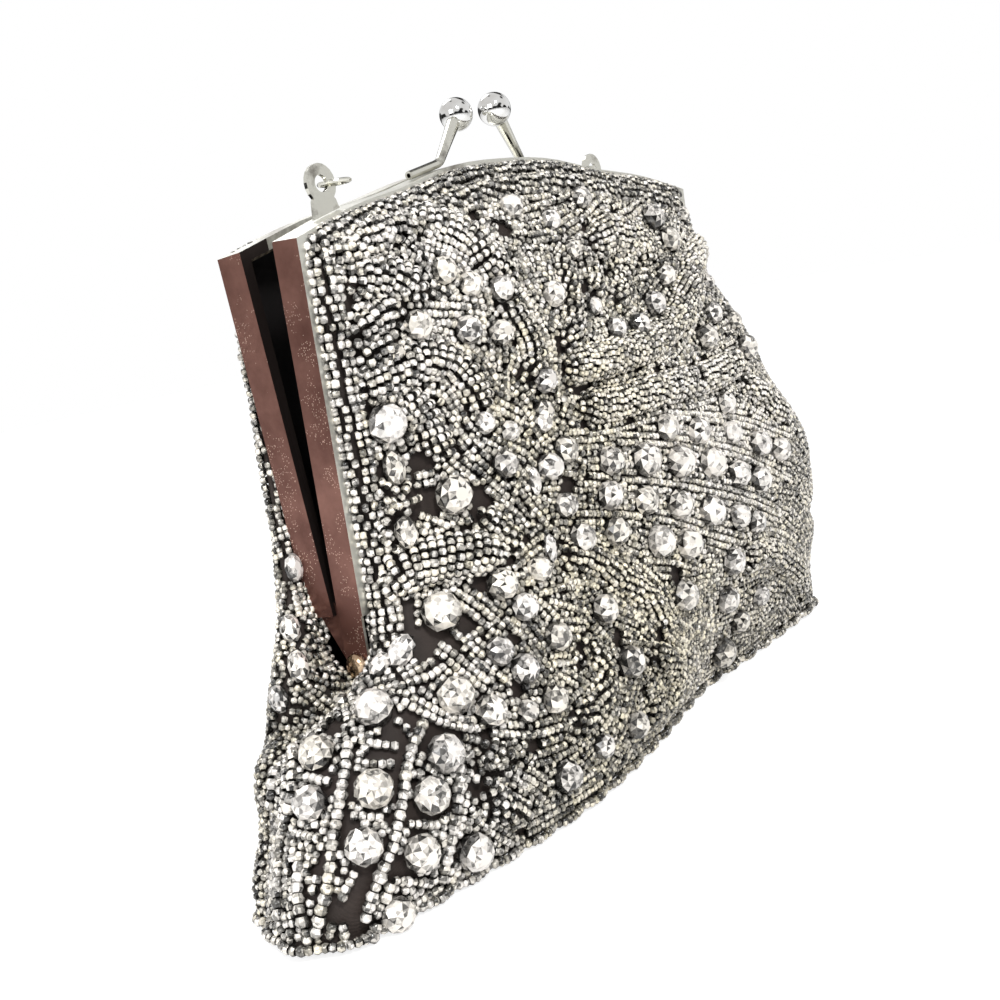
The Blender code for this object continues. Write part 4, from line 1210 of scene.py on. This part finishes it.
def blendPieces(word, face):      # one mesh for each batch of beads
    for kind, beads in face.beads.items():
        batches = {}
        for bead in beads:
            batches.setdefault(batchName(kind, bead), []).append(bead)
        template, finish, look = ((crystalTemplate(), crystalGlass, stoneLook) if kind == "stone"
                                  else (seedTemplate(), seedGlass, seedLook))
        for label, batch in batches.items():
            made = beadCloud(f"{word}_{label}", template, batch, finish, look["glintSpread"])
            blendAcross(made)
            print(f"{word}_{label}", len(batch))


blendPieces("front", frontFace)
blendPieces("back", backFace)
print("beads made")


# Room, lamps and camera


def stageAndLight():
    look = dict(floorSize=6.0, floorColour=0.86, floorRoughness=0.9, seenColour=0.30, seenGlow=0.84,
                shapes=1.9, climb=0.35, ramp=(0.44, 0.54, 0.60), tones=(0.02, 0.10, 0.88),
                aim=(0, 0, 0.07))
    lamps = dict(keyLamp=((-0.35, -0.6, 0.75), 0.16, 5.5), fillLamp=((-0.9, -0.1, 0.5), 0.4, 3.2),
                 rimLamp=((0.3, 0.6, 0.8), 0.3, 2.2))   # place, size and power
    floor = linkObject("floor", bpy.data.meshes.new("floor"))
    mesh = bmesh.new()
    bmesh.ops.create_grid(mesh, x_segments=1, y_segments=1, size=look["floorSize"] / 2)
    mesh.to_mesh(floor.data)
    mesh.free()
    made, tree, shader = newMaterial("paleFloor")
    seen = tree.nodes.new("ShaderNodeLightPath").outputs["Is Camera Ray"]
    tone = mathNode(tree, "MULTIPLY", seen, look["seenColour"] - look["floorColour"])
    tone = mathNode(tree, "ADD", tone, look["floorColour"])
    tree.links.new(tone, shader.inputs["Base Color"])
    setInputs(shader, {"Roughness": look["floorRoughness"], "Specular IOR Level": 0.0,
                       "Emission Color": (1, 1, 1, 1)})
    glow = mathNode(tree, "MULTIPLY", seen, look["seenGlow"])
    tree.links.new(glow, shader.inputs["Emission Strength"])
    floor.data.materials.append(made)
    room = bpy.data.worlds.new("paleRoom")
    bpy.context.scene.world = room
    room.use_nodes = True
    tree = room.node_tree
    seen = tree.nodes.new("ShaderNodeLightPath").outputs["Is Camera Ray"]
    around = tree.nodes.new("ShaderNodeTexCoord").outputs["Generated"]
    climb = mathNode(tree, "MULTIPLY", partsOf(tree, "XYZ", around)["Z"], look["climb"])
    height = mathNode(tree, "ADD", climb, noise(tree, around, look["shapes"], 0))
    greys = [(tone,) * 3 for tone in look["tones"]]
    walls = colourRamp(tree, height, list(zip(look["ramp"], greys)))
    background = tree.nodes["Background"]
    tree.links.new(mixColour(tree, seen, walls, (1.0, 1.0, 1.0)), background.inputs["Color"])
    background.inputs["Strength"].default_value = 1.0
    for name, (place, size, power) in lamps.items():
        data = bpy.data.lights.new(name, "AREA")
        data.size = size
        data.energy = power
        lamp = linkObject(name, data)
        lamp.location = place
        lamp.rotation_euler = (Vector(look["aim"]) - Vector(place)).to_track_quat("-Z", "Y").to_euler()


def photographFrom():
    c = photoCamera
    data = bpy.data.cameras.new("photoCamera")
    data.lens = c["lens"]
    data.sensor_width = c["sensor"]
    data.clip_start = 0.01
    made = linkObject("photoCamera", data)
    right, down, ahead = cameraAxes()
    turn = Matrix((right, -down, -ahead)).transposed().to_4x4()
    made.matrix_world = Matrix.Translation(toFrame(c["place"])) @ turn
    bpy.context.scene.camera = made


stageAndLight()
photographFrom()
bpy.context.scene.view_settings.view_transform = "Standard"
print("room, lamps and camera set")
